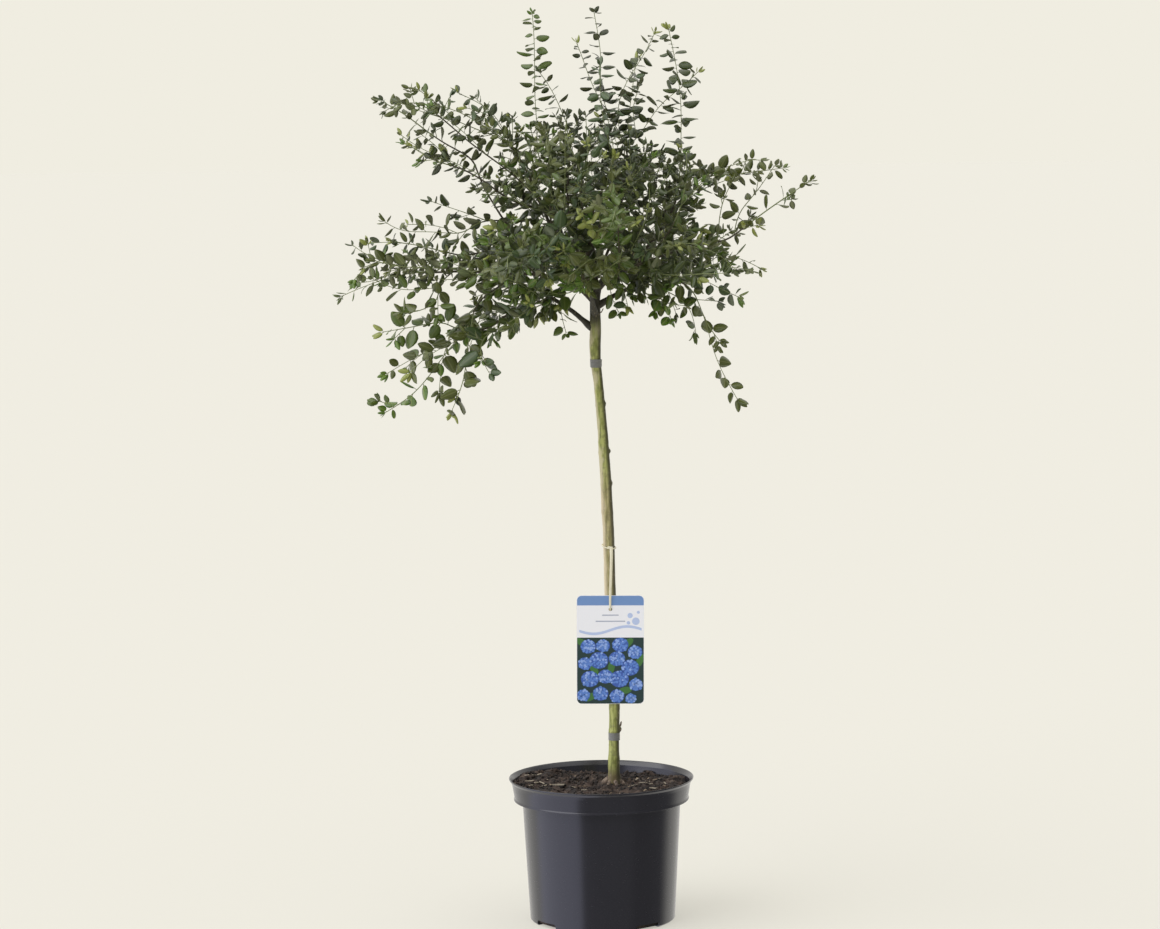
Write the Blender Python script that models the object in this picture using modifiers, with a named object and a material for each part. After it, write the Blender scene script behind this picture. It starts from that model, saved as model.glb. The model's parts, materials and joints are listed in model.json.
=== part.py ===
"""Potted ceanothus: a shrub grown as a small standard, with a bare stem and an open arching crown.

Metres, +Z up. The origin is the centre of the flat underside of the pot, and -Y is the front.
"""

import math
from collections import namedtuple

import bmesh
import bpy
import numpy as np
from mathutils import Vector, noise

# Clearance between pieces that touch
GAP = 0.0003

# Pot: radii and heights of a five-litre nursery container
POT_HEIGHT = 0.175
RIM_RADIUS = 0.113
LIP_DEPTH = 0.006
BAND_TOP_RADIUS = 0.1095
BAND_FOOT_RADIUS = 0.1065
BAND_DEPTH = 0.027
BODY_TOP_RADIUS = 0.0968
BASE_RADIUS = 0.0889
POT_WALL = 0.002
POT_FLOOR = 0.003
POT_STEPS = 36
NOTCH_COUNT = 4
NOTCH_TURN = math.radians(-52)
NOTCH_WIDTH = 0.036
NOTCH_HEIGHT = 0.0065
NOTCH_DEPTH = 0.010

# Soil: level at the stem, at the wall, and how lumpy it is
SOIL_LEVEL = 0.168
SOIL_EDGE = 0.161
SOIL_LUMPS = 0.0035
SOIL_RINGS = 4
STEM_SEAT = 0.024

# Stem: height, sideways place and radius from the soil up to the end of the leader
StemPoint = namedtuple("StemPoint", "height side depth radius")
STEM = (
    StemPoint(0.150, 0.0145, 0.000, 0.0150),
    StemPoint(0.172, 0.0145, 0.000, 0.0104),
    StemPoint(0.188, 0.0148, 0.000, 0.0078),
    StemPoint(0.262, 0.0150, 0.001, 0.0070),
    StemPoint(0.398, 0.0133, 0.003, 0.0067),
    StemPoint(0.520, 0.0095, 0.003, 0.0063),
    StemPoint(0.660, 0.0015, 0.001, 0.0057),
    StemPoint(0.725, -0.0005, 0.000, 0.0066),
    StemPoint(0.762, -0.0010, 0.001, 0.0064),
    StemPoint(0.800, -0.0030, 0.004, 0.0050),
    StemPoint(0.850, -0.0070, 0.008, 0.0040),
)

# Boughs: height where each leaves the stem, bearing in degrees from +X, reach, tip height, radii
Bough = namedtuple("Bough", "leaves bearing reach tip thick thin")
BOUGHS = {
    "bough_left": Bough(0.709, 178, 0.066, 0.768, 0.0044, 0.0034),
    "bough_right": Bough(0.738, 2, 0.062, 0.779, 0.0042, 0.0034),
    "bough_front": Bough(0.722, 262, 0.076, 0.784, 0.0040, 0.0032),
    "bough_back": Bough(0.716, 84, 0.076, 0.782, 0.0042, 0.0032),
    "bough_front_right": Bough(0.752, 312, 0.070, 0.800, 0.0036, 0.0028),
    "bough_back_left": Bough(0.750, 133, 0.072, 0.800, 0.0036, 0.0028),
}

# Foliage: every mass runs along a spine from its root to its tip.
# Bearing in degrees from +X; reach and height of root and tip; half width, half height; arch up.
Mass = namedtuple("Mass", "bearing root root_z tip tip_z wide high arch")
LOBES = {
    "foliage_left_upper": Mass(182, 0.050, 0.950, 0.268, 1.001, 0.048, 0.028, 0.006),
    "foliage_left_upper_low": Mass(188, 0.090, 0.905, 0.243, 0.957, 0.040, 0.022, 0.004),
    "foliage_left_spray": Mass(176, 0.090, 0.846, 0.256, 0.850, 0.022, 0.011, 0.010),
    "foliage_left": Mass(180, 0.110, 0.798, 0.314, 0.772, 0.056, 0.026, 0.022),
    "foliage_left_tip": Mass(172, 0.210, 0.822, 0.300, 0.830, 0.022, 0.012, 0.006),
    "foliage_left_weeping": Mass(188, 0.165, 0.800, 0.262, 0.624, 0.036, 0.027, 0.020),
    "foliage_left_weeping_inner": Mass(200, 0.105, 0.785, 0.182, 0.618, 0.040, 0.026, 0.016),
    "foliage_left_low": Mass(172, 0.045, 0.772, 0.168, 0.716, 0.044, 0.025, 0.008),
    "foliage_front_left_low": Mass(216, 0.050, 0.776, 0.160, 0.728, 0.040, 0.022, 0.010),
    "foliage_right_upper": Mass(6, 0.085, 0.865, 0.236, 0.924, 0.046, 0.023, 0.006),
    "foliage_right_far": Mass(-2, 0.120, 0.825, 0.268, 0.903, 0.026, 0.013, -0.008),
    "foliage_right": Mass(3, 0.090, 0.805, 0.208, 0.790, 0.050, 0.024, 0.008),
    "foliage_right_low": Mass(-10, 0.065, 0.785, 0.178, 0.752, 0.040, 0.022, 0.006),
    "foliage_right_weeping": Mass(-14, 0.095, 0.765, 0.182, 0.624, 0.020, 0.013, 0.026),
    "foliage_right_hanging": Mass(-24, 0.070, 0.778, 0.130, 0.716, 0.026, 0.018, 0.010),
    "foliage_front_left": Mass(243, 0.095, 0.830, 0.262, 0.800, 0.048, 0.026, 0.014),
    "foliage_front": Mass(276, 0.110, 0.850, 0.270, 0.868, 0.046, 0.026, 0.010),
    "foliage_front_right": Mass(312, 0.110, 0.820, 0.240, 0.786, 0.044, 0.024, 0.012),
    "foliage_front_upper": Mass(252, 0.070, 0.915, 0.196, 0.965, 0.038, 0.022, 0.006),
    "foliage_back_right": Mass(62, 0.110, 0.830, 0.258, 0.806, 0.048, 0.026, 0.014),
    "foliage_back": Mass(96, 0.110, 0.845, 0.268, 0.850, 0.046, 0.026, 0.012),
    "foliage_back_left": Mass(132, 0.110, 0.825, 0.256, 0.788, 0.044, 0.024, 0.012),
    "foliage_back_upper": Mass(78, 0.070, 0.915, 0.190, 0.968, 0.038, 0.022, 0.006),
    "foliage_back_weeping": Mass(141, 0.130, 0.790, 0.236, 0.664, 0.034, 0.022, 0.016),
}

# Upright shoots above the crown: foot and tip as (x, y, z), and radius
Shoot = namedtuple("Shoot", "foot tip radius")
SHOOTS = {
    "shoot_left": Shoot((-0.069, 0.000, 0.950), (-0.073, -0.006, 1.116), 0.018),
    "shoot_left_side": Shoot((-0.036, 0.012, 0.955), (-0.055, 0.018, 1.036), 0.011),
    "shoot_middle": Shoot((0.020, -0.004, 0.952), (0.001, 0.006, 1.112), 0.013),
    "shoot_middle_side": Shoot((0.002, -0.020, 0.960), (-0.019, -0.028, 1.073), 0.012),
    "shoot_right_middle": Shoot((0.014, 0.020, 0.955), (0.073, 0.024, 1.081), 0.017),
    "shoot_right": Shoot((0.104, 0.004, 0.885), (0.094, -0.006, 1.088), 0.018),
    "shoot_right_side": Shoot((0.100, 0.024, 0.965), (0.131, 0.030, 1.036), 0.014),
    "shoot_front": Shoot((0.028, -0.078, 0.930), (0.008, -0.100, 1.042), 0.015),
    "shoot_back": Shoot((0.036, 0.084, 0.930), (0.052, 0.110, 1.050), 0.015),
}

# The dense heart of the crown: two rings of masses round the leader, and one mass on top
LOWER_RING = Mass(20, 0.022, 0.815, 0.172, 0.800, 0.072, 0.046, 0.010)
LOWER_COUNT = 6
UPPER_RING = Mass(48, 0.012, 0.885, 0.152, 0.906, 0.070, 0.046, 0.006)
UPPER_COUNT = 5
TOP_MASS = Mass(186, -0.072, 0.944, 0.106, 0.952, 0.074, 0.032, 0.008)
UNEVEN = 0.20
BUMP_SIZE = 0.045
MASS_SIDES = 9
MASS_RINGS = 6
SHOOT_SIDES = 7
SHOOT_RINGS = 6
CUT_DIRECTIONS = 90

# Things fastened to the stem
TAPE_HEIGHTS = {"tape_upper": 0.682, "tape_lower": 0.225}
TAPE_WIDTH = 0.010
TAPE_THICK = 0.0007
TIE_HEIGHT = 0.457
TIE_RADIUS = 0.0011
STRAP_RADIUS = 0.0007
STRAP_BEND = 0.012
LABEL_WIDTH = 0.081
LABEL_HEIGHT = 0.132
LABEL_THICK = 0.0008
LABEL_CORNER = 0.0056
LABEL_CENTRE = (0.0130, 0.3305)
LABEL_HOLE_RADIUS = 0.0022
LABEL_HOLE_DROP = 0.0170
LABEL_TILT = math.radians(0.6)


def collection(name):
    made = bpy.data.collections.new(name)
    bpy.context.scene.collection.children.link(made)
    return made


def material(name, colour, roughness, metallic=0.0):
    made = bpy.data.materials.new(name)
    made.use_nodes = True
    shader = made.node_tree.nodes["Principled BSDF"]
    shader.inputs["Base Color"].default_value = (*colour, 1.0)
    shader.inputs["Roughness"].default_value = roughness
    shader.inputs["Metallic"].default_value = metallic
    return made


def add_object(name, data, group, finish=None):
    made = bpy.data.objects.new(name, data)
    group.objects.link(made)
    if finish:
        data.materials.append(finish)
    return made


def as_mesh(obj, group):
    """Replaces a curve or a modified object by its plain mesh, with its loose caps welded on."""
    graph = bpy.context.evaluated_depsgraph_get()
    mesh = bpy.data.meshes.new_from_object(obj.evaluated_get(graph))
    bm = bmesh.new()
    bm.from_mesh(mesh)
    bmesh.ops.remove_doubles(bm, verts=bm.verts, dist=0.00001)
    bm.to_mesh(mesh)
    bm.free()
    name = obj.name
    bpy.data.objects.remove(obj)
    return add_object(name, mesh, group)


def hide_cutter(obj):
    obj.hide_render = True
    obj.display_type = "WIRE"
    return obj


def subtract(obj, cutter):
    cut = obj.modifiers.new("cut_" + cutter.name, "BOOLEAN")
    cut.operation = "DIFFERENCE"
    cut.solver = "EXACT"
    cut.object = cutter


def smooth(obj, angle=math.radians(40)):
    obj.data.shade_smooth()
    obj.data.set_sharp_from_angle(angle=angle)


def turned(name, profile, steps, group):
    """Revolves a profile of (radius, height) points, which runs down its outer side, round +Z."""
    mesh = bpy.data.meshes.new(name)
    points = [(radius, 0.0, height) for radius, height in profile]
    mesh.from_pydata(points, [(i, i + 1) for i in range(len(points) - 1)], [])
    obj = add_object(name, mesh, group)
    screw = obj.modifiers.new("turn", "SCREW")
    screw.axis = "Z"
    screw.angle = math.tau
    screw.steps = steps
    screw.render_steps = steps
    screw.use_merge_vertices = True
    screw.merge_threshold = 0.0001
    return obj


def tube(name, points, radii, group, grow=0.0, sides_level=3, smoothness=4):
    """A round limb along a smooth curve through the points, with its own radius at each."""
    data = bpy.data.curves.new(name, "CURVE")
    data.dimensions = "3D"
    data.bevel_depth = 1.0
    data.bevel_resolution = sides_level
    data.resolution_u = smoothness
    data.use_fill_caps = True
    spline = data.splines.new("BEZIER")
    spline.bezier_points.add(len(points) - 1)
    for knot, point, radius in zip(spline.bezier_points, points, radii):
        knot.co = point
        knot.radius = radius + grow
        knot.handle_left_type = "AUTO"
        knot.handle_right_type = "AUTO"
    return as_mesh(add_object(name, data, group), group)


def keep_side(bm, point, normal):
    """Cuts a closed mesh with a plane, keeps what is behind the normal, and closes the cut."""
    everything = bm.verts[:] + bm.edges[:] + bm.faces[:]
    bmesh.ops.bisect_plane(bm, geom=everything, plane_co=point, plane_no=normal, clear_outer=True)
    rim = [edge for edge in bm.edges if edge.is_boundary]
    if rim:
        bmesh.ops.holes_fill(bm, edges=rim, sides=0)


# --- Pot and soil ---


def body_radius(height):
    share = height / (POT_HEIGHT - BAND_DEPTH)
    return BASE_RADIUS + (BODY_TOP_RADIUS - BASE_RADIUS) * share


def pot_profile():
    """From the middle of the floor inside, over the lip, to the middle of the underside."""
    shoulder = POT_HEIGHT - BAND_DEPTH
    lip_foot = POT_HEIGHT - LIP_DEPTH
    chamfer = 0.0015
    inside = [
        (0.0, POT_FLOOR),
        (body_radius(0.0) - POT_WALL, POT_FLOOR),
        (body_radius(shoulder) - POT_WALL, shoulder + POT_WALL),
        (BAND_FOOT_RADIUS - POT_WALL, shoulder + POT_WALL),
        (BAND_TOP_RADIUS - POT_WALL, POT_HEIGHT - chamfer),
        (BAND_TOP_RADIUS - POT_WALL + chamfer, POT_HEIGHT),
    ]
    outside = [
        (RIM_RADIUS - chamfer, POT_HEIGHT),
        (RIM_RADIUS, POT_HEIGHT - chamfer),
        (RIM_RADIUS, lip_foot + chamfer),
        (BAND_TOP_RADIUS, lip_foot),
        (BAND_FOOT_RADIUS, shoulder + chamfer),
        (BAND_FOOT_RADIUS - chamfer, shoulder),
        (BODY_TOP_RADIUS, shoulder),
        (BASE_RADIUS, chamfer),
        (BASE_RADIUS - chamfer, 0.0),
        (0.0, 0.0),
    ]
    return inside + outside


def notch_cutter(index, cutters):
    turn = NOTCH_TURN + index * math.tau / NOTCH_COUNT - math.pi / 2
    bpy.ops.mesh.primitive_cube_add(size=1.0)
    cutter = bpy.context.object
    for holder in cutter.users_collection:
        holder.objects.unlink(cutter)
    cutters.objects.link(cutter)
    cutter.name = f"notch_{index + 1}"
    cutter.scale = (2 * NOTCH_DEPTH, NOTCH_WIDTH, 2 * NOTCH_HEIGHT)
    cutter.location = (BASE_RADIUS * math.cos(turn), BASE_RADIUS * math.sin(turn), 0.0)
    cutter.rotation_euler = (0.0, 0.0, turn)
    return hide_cutter(cutter)


def make_pot(group, cutters, finish):
    pot = turned("pot", pot_profile(), POT_STEPS, group)
    for index in range(NOTCH_COUNT):
        subtract(pot, notch_cutter(index, cutters))
    pot.data.materials.append(finish)
    return pot


def soil_top(x, y):
    """Height of the compost: a low mound at the stem, lumpy, and lower along the pot's wall."""
    reach = math.hypot(x, y) / (BAND_FOOT_RADIUS - POT_WALL)
    from_stem = math.hypot(x - STEM[1].side, y - STEM[1].depth)
    open_ground = min(max((from_stem - STEM_SEAT) / STEM_SEAT, 0.0), 1.0)
    mound = SOIL_LEVEL + (SOIL_EDGE - SOIL_LEVEL) * reach**2 * open_ground
    return mound + SOIL_LUMPS * open_ground * noise.noise(Vector((x, y, 0.0)) * 28)


def make_soil(group, finish):
    shoulder = POT_HEIGHT - BAND_DEPTH + POT_WALL
    edge = BAND_FOOT_RADIUS - POT_WALL - GAP
    side = POT_WALL + GAP
    top = [(edge * ring / SOIL_RINGS, SOIL_LEVEL) for ring in range(SOIL_RINGS + 1)]
    wall = [
        (edge, shoulder + GAP),
        (body_radius(shoulder) - side, shoulder + GAP),
        (body_radius(0.0) - side, POT_FLOOR + GAP),
        (0.0, POT_FLOOR + GAP),
    ]
    soil = as_mesh(turned("soil", top + wall, POT_STEPS, group), group)
    for vertex in soil.data.vertices:
        if vertex.co.z > (shoulder + SOIL_LEVEL) / 2:
            vertex.co.z = soil_top(vertex.co.x, vertex.co.y)
    soil.data.materials.append(finish)
    return soil


# --- Stem and boughs ---


def stem_at(height):
    """Middle of the stem at a height, between its named points."""
    heights = [point.height for point in STEM]
    side = np.interp(height, heights, [point.side for point in STEM])
    depth = np.interp(height, heights, [point.depth for point in STEM])
    return Vector((side, depth, height))


def stem_radius(height):
    return float(np.interp(height, [p.height for p in STEM], [p.radius for p in STEM]))


def make_stem(name, group, grow=0.0, ground=SOIL_LEVEL + GAP):
    points = [(point.side, point.depth, point.height) for point in STEM]
    stem = tube(name, points, [point.radius for point in STEM], group, grow, smoothness=3)
    bm = bmesh.new()
    bm.from_mesh(stem.data)
    keep_side(bm, (0.0, 0.0, ground), (0.0, 0.0, -1.0))
    bm.to_mesh(stem.data)
    bm.free()
    return stem


def make_bough(name, bough, group, grow=0.0):
    """A tapering limb that leaves the middle of the stem, rises and then levels out."""
    start = stem_at(bough.leaves)
    bearing = math.radians(bough.bearing)
    out = Vector((math.cos(bearing), math.sin(bearing), 0.0))
    rise = bough.tip - bough.leaves
    points = [
        start,
        start + out * bough.reach * 0.33 + Vector((0, 0, rise * 0.42)),
        start + out * bough.reach * 0.68 + Vector((0, 0, rise * 0.76)),
        start + out * bough.reach + Vector((0, 0, rise)),
    ]
    middle = (bough.thick + bough.thin) / 2
    radii = [bough.thick * 1.15, bough.thick, middle, bough.thin]
    return tube(name, points, radii, group, grow, sides_level=2, smoothness=2)


# --- Foliage ---


def mass_ends(mass):
    bearing = math.radians(mass.bearing)
    out = Vector((math.cos(bearing), math.sin(bearing), 0.0))
    return out * mass.root + Vector((0, 0, mass.root_z)), out * mass.tip + Vector((0, 0, mass.tip_z))


def uneven_mass(root, tip, wide, high, arch, seed, sides, rings):
    """A ball drawn out along an arched spine from root to tip, with an uneven surface."""
    bm = bmesh.new()
    bmesh.ops.create_uvsphere(bm, u_segments=sides, v_segments=rings, radius=1.0)
    along = (tip - root).normalized()
    upright = abs(along.z) > 0.95
    side = Vector((1, 0, 0)) if upright else along.cross(Vector((0, 0, 1))).normalized()
    over = along.cross(side).normalized()
    shift = Vector((seed * 3.7, seed * 1.3, seed * 2.1))
    for vertex in bm.verts:
        x, y, z = vertex.co
        share = (z + 1) / 2
        spine = root.lerp(tip, share) + Vector((0, 0, arch * 4 * share * (1 - share)))
        place = spine + side * x * wide + over * y * high
        swell = 1 + UNEVEN * noise.noise(place / BUMP_SIZE + shift)
        vertex.co = spine + (place - spine) * swell
    return bm


def directions(count):
    """Unit vectors spread evenly over a ball."""
    index = np.arange(count) + 0.5
    height = 1 - 2 * index / count
    turn = index * math.pi * (1 + math.sqrt(5))
    around = np.sqrt(1 - height**2)
    return np.stack([around * np.cos(turn), around * np.sin(turn), height], axis=1)


def face_outwards(bm):
    bmesh.ops.triangulate(bm, faces=bm.faces)
    bmesh.ops.recalc_face_normals(bm, faces=bm.faces)
    if bm.calc_volume(signed=True) < 0:
        bmesh.ops.reverse_faces(bm, faces=bm.faces)


def places(bm):
    return np.array([vertex.co[:] for vertex in bm.verts])


def separate(first, second, ways):
    """Parts two masses that overlap, with a flat gap where they overlap least."""
    a, b = places(first), places(second)
    reach, start = (a @ ways.T).max(axis=0), (b @ ways.T).min(axis=0)
    best = int(np.argmin(reach - start))
    if reach[best] < start[best]:
        return
    way = Vector(ways[best])
    middle = float(reach[best] + start[best]) / 2
    keep_side(first, way * (middle - GAP / 2), way)
    keep_side(second, way * (middle + GAP / 2), -way)


def heart_masses():
    """The dense middle of the crown: two rings of masses and the one on top."""
    made = {"foliage_top": TOP_MASS}
    for label, ring, count in (
        ("foliage_lower", LOWER_RING, LOWER_COUNT),
        ("foliage_upper", UPPER_RING, UPPER_COUNT),
    ):
        for index in range(count):
            bearing = ring.bearing + index * 360 / count
            made[f"{label}_{index + 1}"] = ring._replace(bearing=bearing)
    return made


def shape_masses(masses, first_seed):
    """Every mass as a bmesh by name, before its neighbours are cut away."""
    shapes = {}
    for seed, (name, mass) in enumerate(masses.items(), first_seed):
        size = (mass.wide, mass.high, mass.arch)
        shapes[name] = uneven_mass(*mass_ends(mass), *size, seed, MASS_SIDES, MASS_RINGS)
    return shapes


def shape_shoots(first_seed):
    shapes = {}
    for seed, (name, shoot) in enumerate(SHOOTS.items(), first_seed):
        ends = Vector(shoot.foot), Vector(shoot.tip)
        size = (shoot.radius, shoot.radius, 0.0)
        shapes[name] = uneven_mass(*ends, *size, seed, SHOOT_SIDES, SHOOT_RINGS)
    return shapes


def boxes_meet(a, b):
    above = (a.min(axis=0) < b.max(axis=0)).all()
    below = (b.min(axis=0) < a.max(axis=0)).all()
    return bool(above and below)


def separate_all(shapes):
    ways = directions(CUT_DIRECTIONS)
    names = list(shapes)
    for index, first in enumerate(names):
        for second in names[index + 1 :]:
            if boxes_meet(places(shapes[first]), places(shapes[second])):
                separate(shapes[first], shapes[second], ways)


def mesh_places(obj):
    return np.array([vertex.co[:] for vertex in obj.data.vertices])


def subtract_where_met(obj, cutters):
    for cutter in cutters:
        if boxes_meet(mesh_places(obj), mesh_places(cutter)):
            subtract(obj, cutter)


def mass_objects(shapes, group, finish=None):
    made = []
    for name, bm in shapes.items():
        face_outwards(bm)
        mesh = bpy.data.meshes.new(name)
        bm.to_mesh(mesh)
        bm.free()
        made.append(add_object(name, mesh, group, finish))
    return made


def grown(obj, group):
    """A copy that stands off the mass by a little more than the gap, to cut its neighbours with."""
    copy = add_object(obj.name + "_clearance", obj.data.copy(), group)
    offsets = [vertex.normal * GAP * 1.3 for vertex in obj.data.vertices]
    for vertex, offset in zip(copy.data.vertices, offsets):
        vertex.co += offset
    return hide_cutter(copy)


def make_crown(group, cutters, limb_cutters, finish):
    """The heart fills the middle, and the lobes and shoots end where they meet it."""
    heart = shape_masses(heart_masses(), 1)
    outer = shape_masses(LOBES, len(heart) + 1)
    outer.update(shape_shoots(len(heart) + len(outer) + 1))
    separate_all(heart)
    separate_all(outer)
    heart_objects = mass_objects(heart, group, finish)
    heart_cutters = [grown(obj, cutters) for obj in heart_objects]
    outer_objects = mass_objects(outer, group, finish)
    for obj in outer_objects:
        subtract_where_met(obj, heart_cutters)
    for obj in heart_objects + outer_objects:
        subtract_where_met(obj, limb_cutters)
        smooth(obj, math.radians(50))


# --- Tapes, tie and label ---


def sleeve(name, low, high, thick, group, cutter):
    """A band wrapped round the stem between two heights."""
    heights = np.linspace(low, high, 3)
    radii = [stem_radius(z) + GAP + thick for z in heights]
    band = tube(name, [stem_at(z) for z in heights], radii, group, smoothness=1)
    subtract(band, cutter)
    return band


def rounded_outline(spline, width, height, corner, per_corner=5):
    centres = [(1, 1), (-1, 1), (-1, -1), (1, -1)]
    points = []
    for quarter, (sx, sy) in enumerate(centres):
        for step in range(per_corner):
            turn = (quarter + step / (per_corner - 1)) * math.pi / 2
            x = sx * (width / 2 - corner) + corner * math.cos(turn)
            y = sy * (height / 2 - corner) + corner * math.sin(turn)
            points.append((x, y, 0.0, 1.0))
    spline.points.add(len(points) - 1)
    for knot, point in zip(spline.points, points):
        knot.co = point
    spline.use_cyclic_u = True


def round_hole(spline, x, y, radius, count=12):
    spline.points.add(count - 1)
    for index, knot in enumerate(spline.points):
        turn = math.tau * index / count
        knot.co = (x + radius * math.cos(turn), y + radius * math.sin(turn), 0.0, 1.0)
    spline.use_cyclic_u = True


def make_label(group, finish):
    """A stiff card with round corners that hangs upright in front of the stem."""
    data = bpy.data.curves.new("label", "CURVE")
    data.dimensions = "2D"
    data.fill_mode = "BOTH"
    data.extrude = LABEL_THICK / 2
    rounded_outline(data.splines.new("POLY"), LABEL_WIDTH, LABEL_HEIGHT, LABEL_CORNER)
    round_hole(data.splines.new("POLY"), 0.0, LABEL_HEIGHT / 2 - LABEL_HOLE_DROP, LABEL_HOLE_RADIUS)
    label = as_mesh(add_object("label", data, group), group)
    x, z = LABEL_CENTRE
    label.location = (x, label_plane(), z)
    label.rotation_euler = (math.pi / 2, LABEL_TILT, 0.0)
    label.data.materials.append(finish)
    return label


def label_plane():
    """Depth of the middle of the card, which just clears the front of the stem."""
    top, low = LABEL_CENTRE[1] + LABEL_HEIGHT / 2, LABEL_CENTRE[1] - LABEL_HEIGHT / 2
    front = min(stem_at(z).y - stem_radius(z) for z in np.linspace(low, top, 20))
    return front - GAP - LABEL_THICK / 2


def make_tie(group, finish, cutter):
    """A loop of soft strap round the stem, and the end that holds the label by its hole."""
    middle = stem_at(TIE_HEIGHT)
    ring_radius = stem_radius(TIE_HEIGHT) + GAP + TIE_RADIUS
    bpy.ops.mesh.primitive_torus_add(
        major_radius=ring_radius + 0.0002, minor_radius=TIE_RADIUS, major_segments=20, minor_segments=8
    )
    ring = bpy.context.object
    for holder in ring.users_collection:
        holder.objects.unlink(ring)
    group.objects.link(ring)
    ring.name = "tie"
    ring.location = middle
    ring.data.materials.append(finish)
    subtract(ring, cutter)
    return ring


def hole_centre():
    """Middle of the hole in the card, on the card's middle plane."""
    up = LABEL_HEIGHT / 2 - LABEL_HOLE_DROP
    x, z = LABEL_CENTRE
    return Vector((x + up * math.sin(LABEL_TILT), label_plane(), z + up * math.cos(LABEL_TILT)))


def make_strap(group, finish):
    """The free end of the tie: it hangs in front of the stem and passes through the card's hole."""
    hole = hole_centre()
    front = hole.y - LABEL_THICK / 2
    ring = stem_at(TIE_HEIGHT)
    ring_front = ring.y - stem_radius(TIE_HEIGHT) - 2 * TIE_RADIUS - STRAP_RADIUS - 2 * GAP
    hang = min(front - STRAP_RADIUS, ring_front) - GAP
    grip = hole.z + LABEL_HOLE_RADIUS - STRAP_RADIUS - 3 * GAP
    points = [
        (ring.x, ring_front, TIE_HEIGHT + TIE_RADIUS),
        (ring.x, hang, TIE_HEIGHT - STRAP_BEND),
        (hole.x, hang, (TIE_HEIGHT + hole.z) / 2),
        (hole.x, hang, hole.z + STRAP_BEND),
        (hole.x, front - 2 * STRAP_RADIUS, hole.z + LABEL_HOLE_RADIUS),
        (hole.x, hole.y + LABEL_THICK / 4, grip),
    ]
    strap = tube("label_strap", points, [STRAP_RADIUS] * len(points), group, sides_level=2, smoothness=3)
    strap.data.materials.append(finish)
    return strap


def main():
    for obj in list(bpy.data.objects):
        bpy.data.objects.remove(obj)
    plant = collection("potted_ceanothus")
    cutters = collection("cutters")

    plastic = material("pot_plastic", (0.045, 0.046, 0.055), 0.45)
    compost = material("compost", (0.060, 0.038, 0.026), 0.95)
    stem_bark = material("stem_bark", (0.29, 0.31, 0.10), 0.60)
    bough_bark = material("bough_bark", (0.10, 0.09, 0.04), 0.70)
    leaves = material("leaves", (0.055, 0.085, 0.035), 0.45)
    tape = material("tape", (0.22, 0.22, 0.20), 0.40)
    cream = material("cream_strap", (0.78, 0.76, 0.66), 0.50)
    card = material("label_card", (0.45, 0.60, 0.80), 0.35)

    make_pot(plant, cutters, plastic)
    make_soil(plant, compost)
    stem = make_stem("trunk", plant)
    stem.data.materials.append(stem_bark)
    smooth(stem)
    stem_cutter = hide_cutter(make_stem("trunk_clearance", cutters, GAP, SOIL_LEVEL - GAP))
    limb_cutters = [stem_cutter]
    for name, bough in BOUGHS.items():
        limb = make_bough(name, bough, plant)
        limb.data.materials.append(bough_bark)
        subtract(limb, stem_cutter)
        smooth(limb)
        limb_cutters.append(hide_cutter(make_bough(name + "_clearance", bough, cutters, GAP)))
    make_crown(plant, cutters, limb_cutters, leaves)

    for name, height in TAPE_HEIGHTS.items():
        band = sleeve(name, height - TAPE_WIDTH / 2, height + TAPE_WIDTH / 2, TAPE_THICK, plant, stem_cutter)
        band.data.materials.append(tape)
        smooth(band)
    make_label(plant, card)
    make_tie(plant, cream, stem_cutter)
    make_strap(plant, cream)

    anchor = bpy.data.objects.new("plant_anchor", None)
    plant.objects.link(anchor)
    for obj in plant.objects:
        if obj != anchor:
            obj.parent = anchor


main()
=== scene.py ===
# %% [markdown]
# # A potted ceanothus, grown as a small standard tree
#
# A standard is a shrub trained on one bare stem, with its crown held up like a small tree's. This one has a
# nursery pot, a green stem as thick as a finger, a fork of six boughs, and an open crown of arching sprays.
# The frame already holds every piece as a plain solid. Each cell below gives one of them its true surface,
# or lets the wood and the leaves grow where the solid only marks their room.

# %% The frame
import json
import math
from collections import namedtuple

import bmesh
import bpy
import numpy as np
from mathutils import Matrix, Vector, noise
from mathutils.bvhtree import BVHTree

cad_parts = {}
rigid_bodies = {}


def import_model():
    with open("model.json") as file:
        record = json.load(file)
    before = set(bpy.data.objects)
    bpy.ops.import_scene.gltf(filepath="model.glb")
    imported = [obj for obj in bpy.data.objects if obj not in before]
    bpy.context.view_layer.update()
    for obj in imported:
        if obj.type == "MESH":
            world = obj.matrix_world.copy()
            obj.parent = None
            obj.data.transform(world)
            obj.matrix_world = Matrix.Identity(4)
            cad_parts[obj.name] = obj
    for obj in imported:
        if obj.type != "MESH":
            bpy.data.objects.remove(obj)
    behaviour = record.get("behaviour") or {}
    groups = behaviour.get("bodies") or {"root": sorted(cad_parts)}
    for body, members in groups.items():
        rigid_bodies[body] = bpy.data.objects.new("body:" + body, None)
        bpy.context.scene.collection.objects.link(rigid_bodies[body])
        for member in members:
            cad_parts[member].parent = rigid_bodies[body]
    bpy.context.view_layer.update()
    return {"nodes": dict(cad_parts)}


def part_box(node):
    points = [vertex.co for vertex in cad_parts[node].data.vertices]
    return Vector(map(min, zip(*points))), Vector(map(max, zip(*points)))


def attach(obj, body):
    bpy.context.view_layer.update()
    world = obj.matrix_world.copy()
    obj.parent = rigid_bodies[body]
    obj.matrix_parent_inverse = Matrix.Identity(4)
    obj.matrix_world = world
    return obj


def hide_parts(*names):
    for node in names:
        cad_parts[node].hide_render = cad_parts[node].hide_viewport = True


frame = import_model()
nodes = frame["nodes"]
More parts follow.
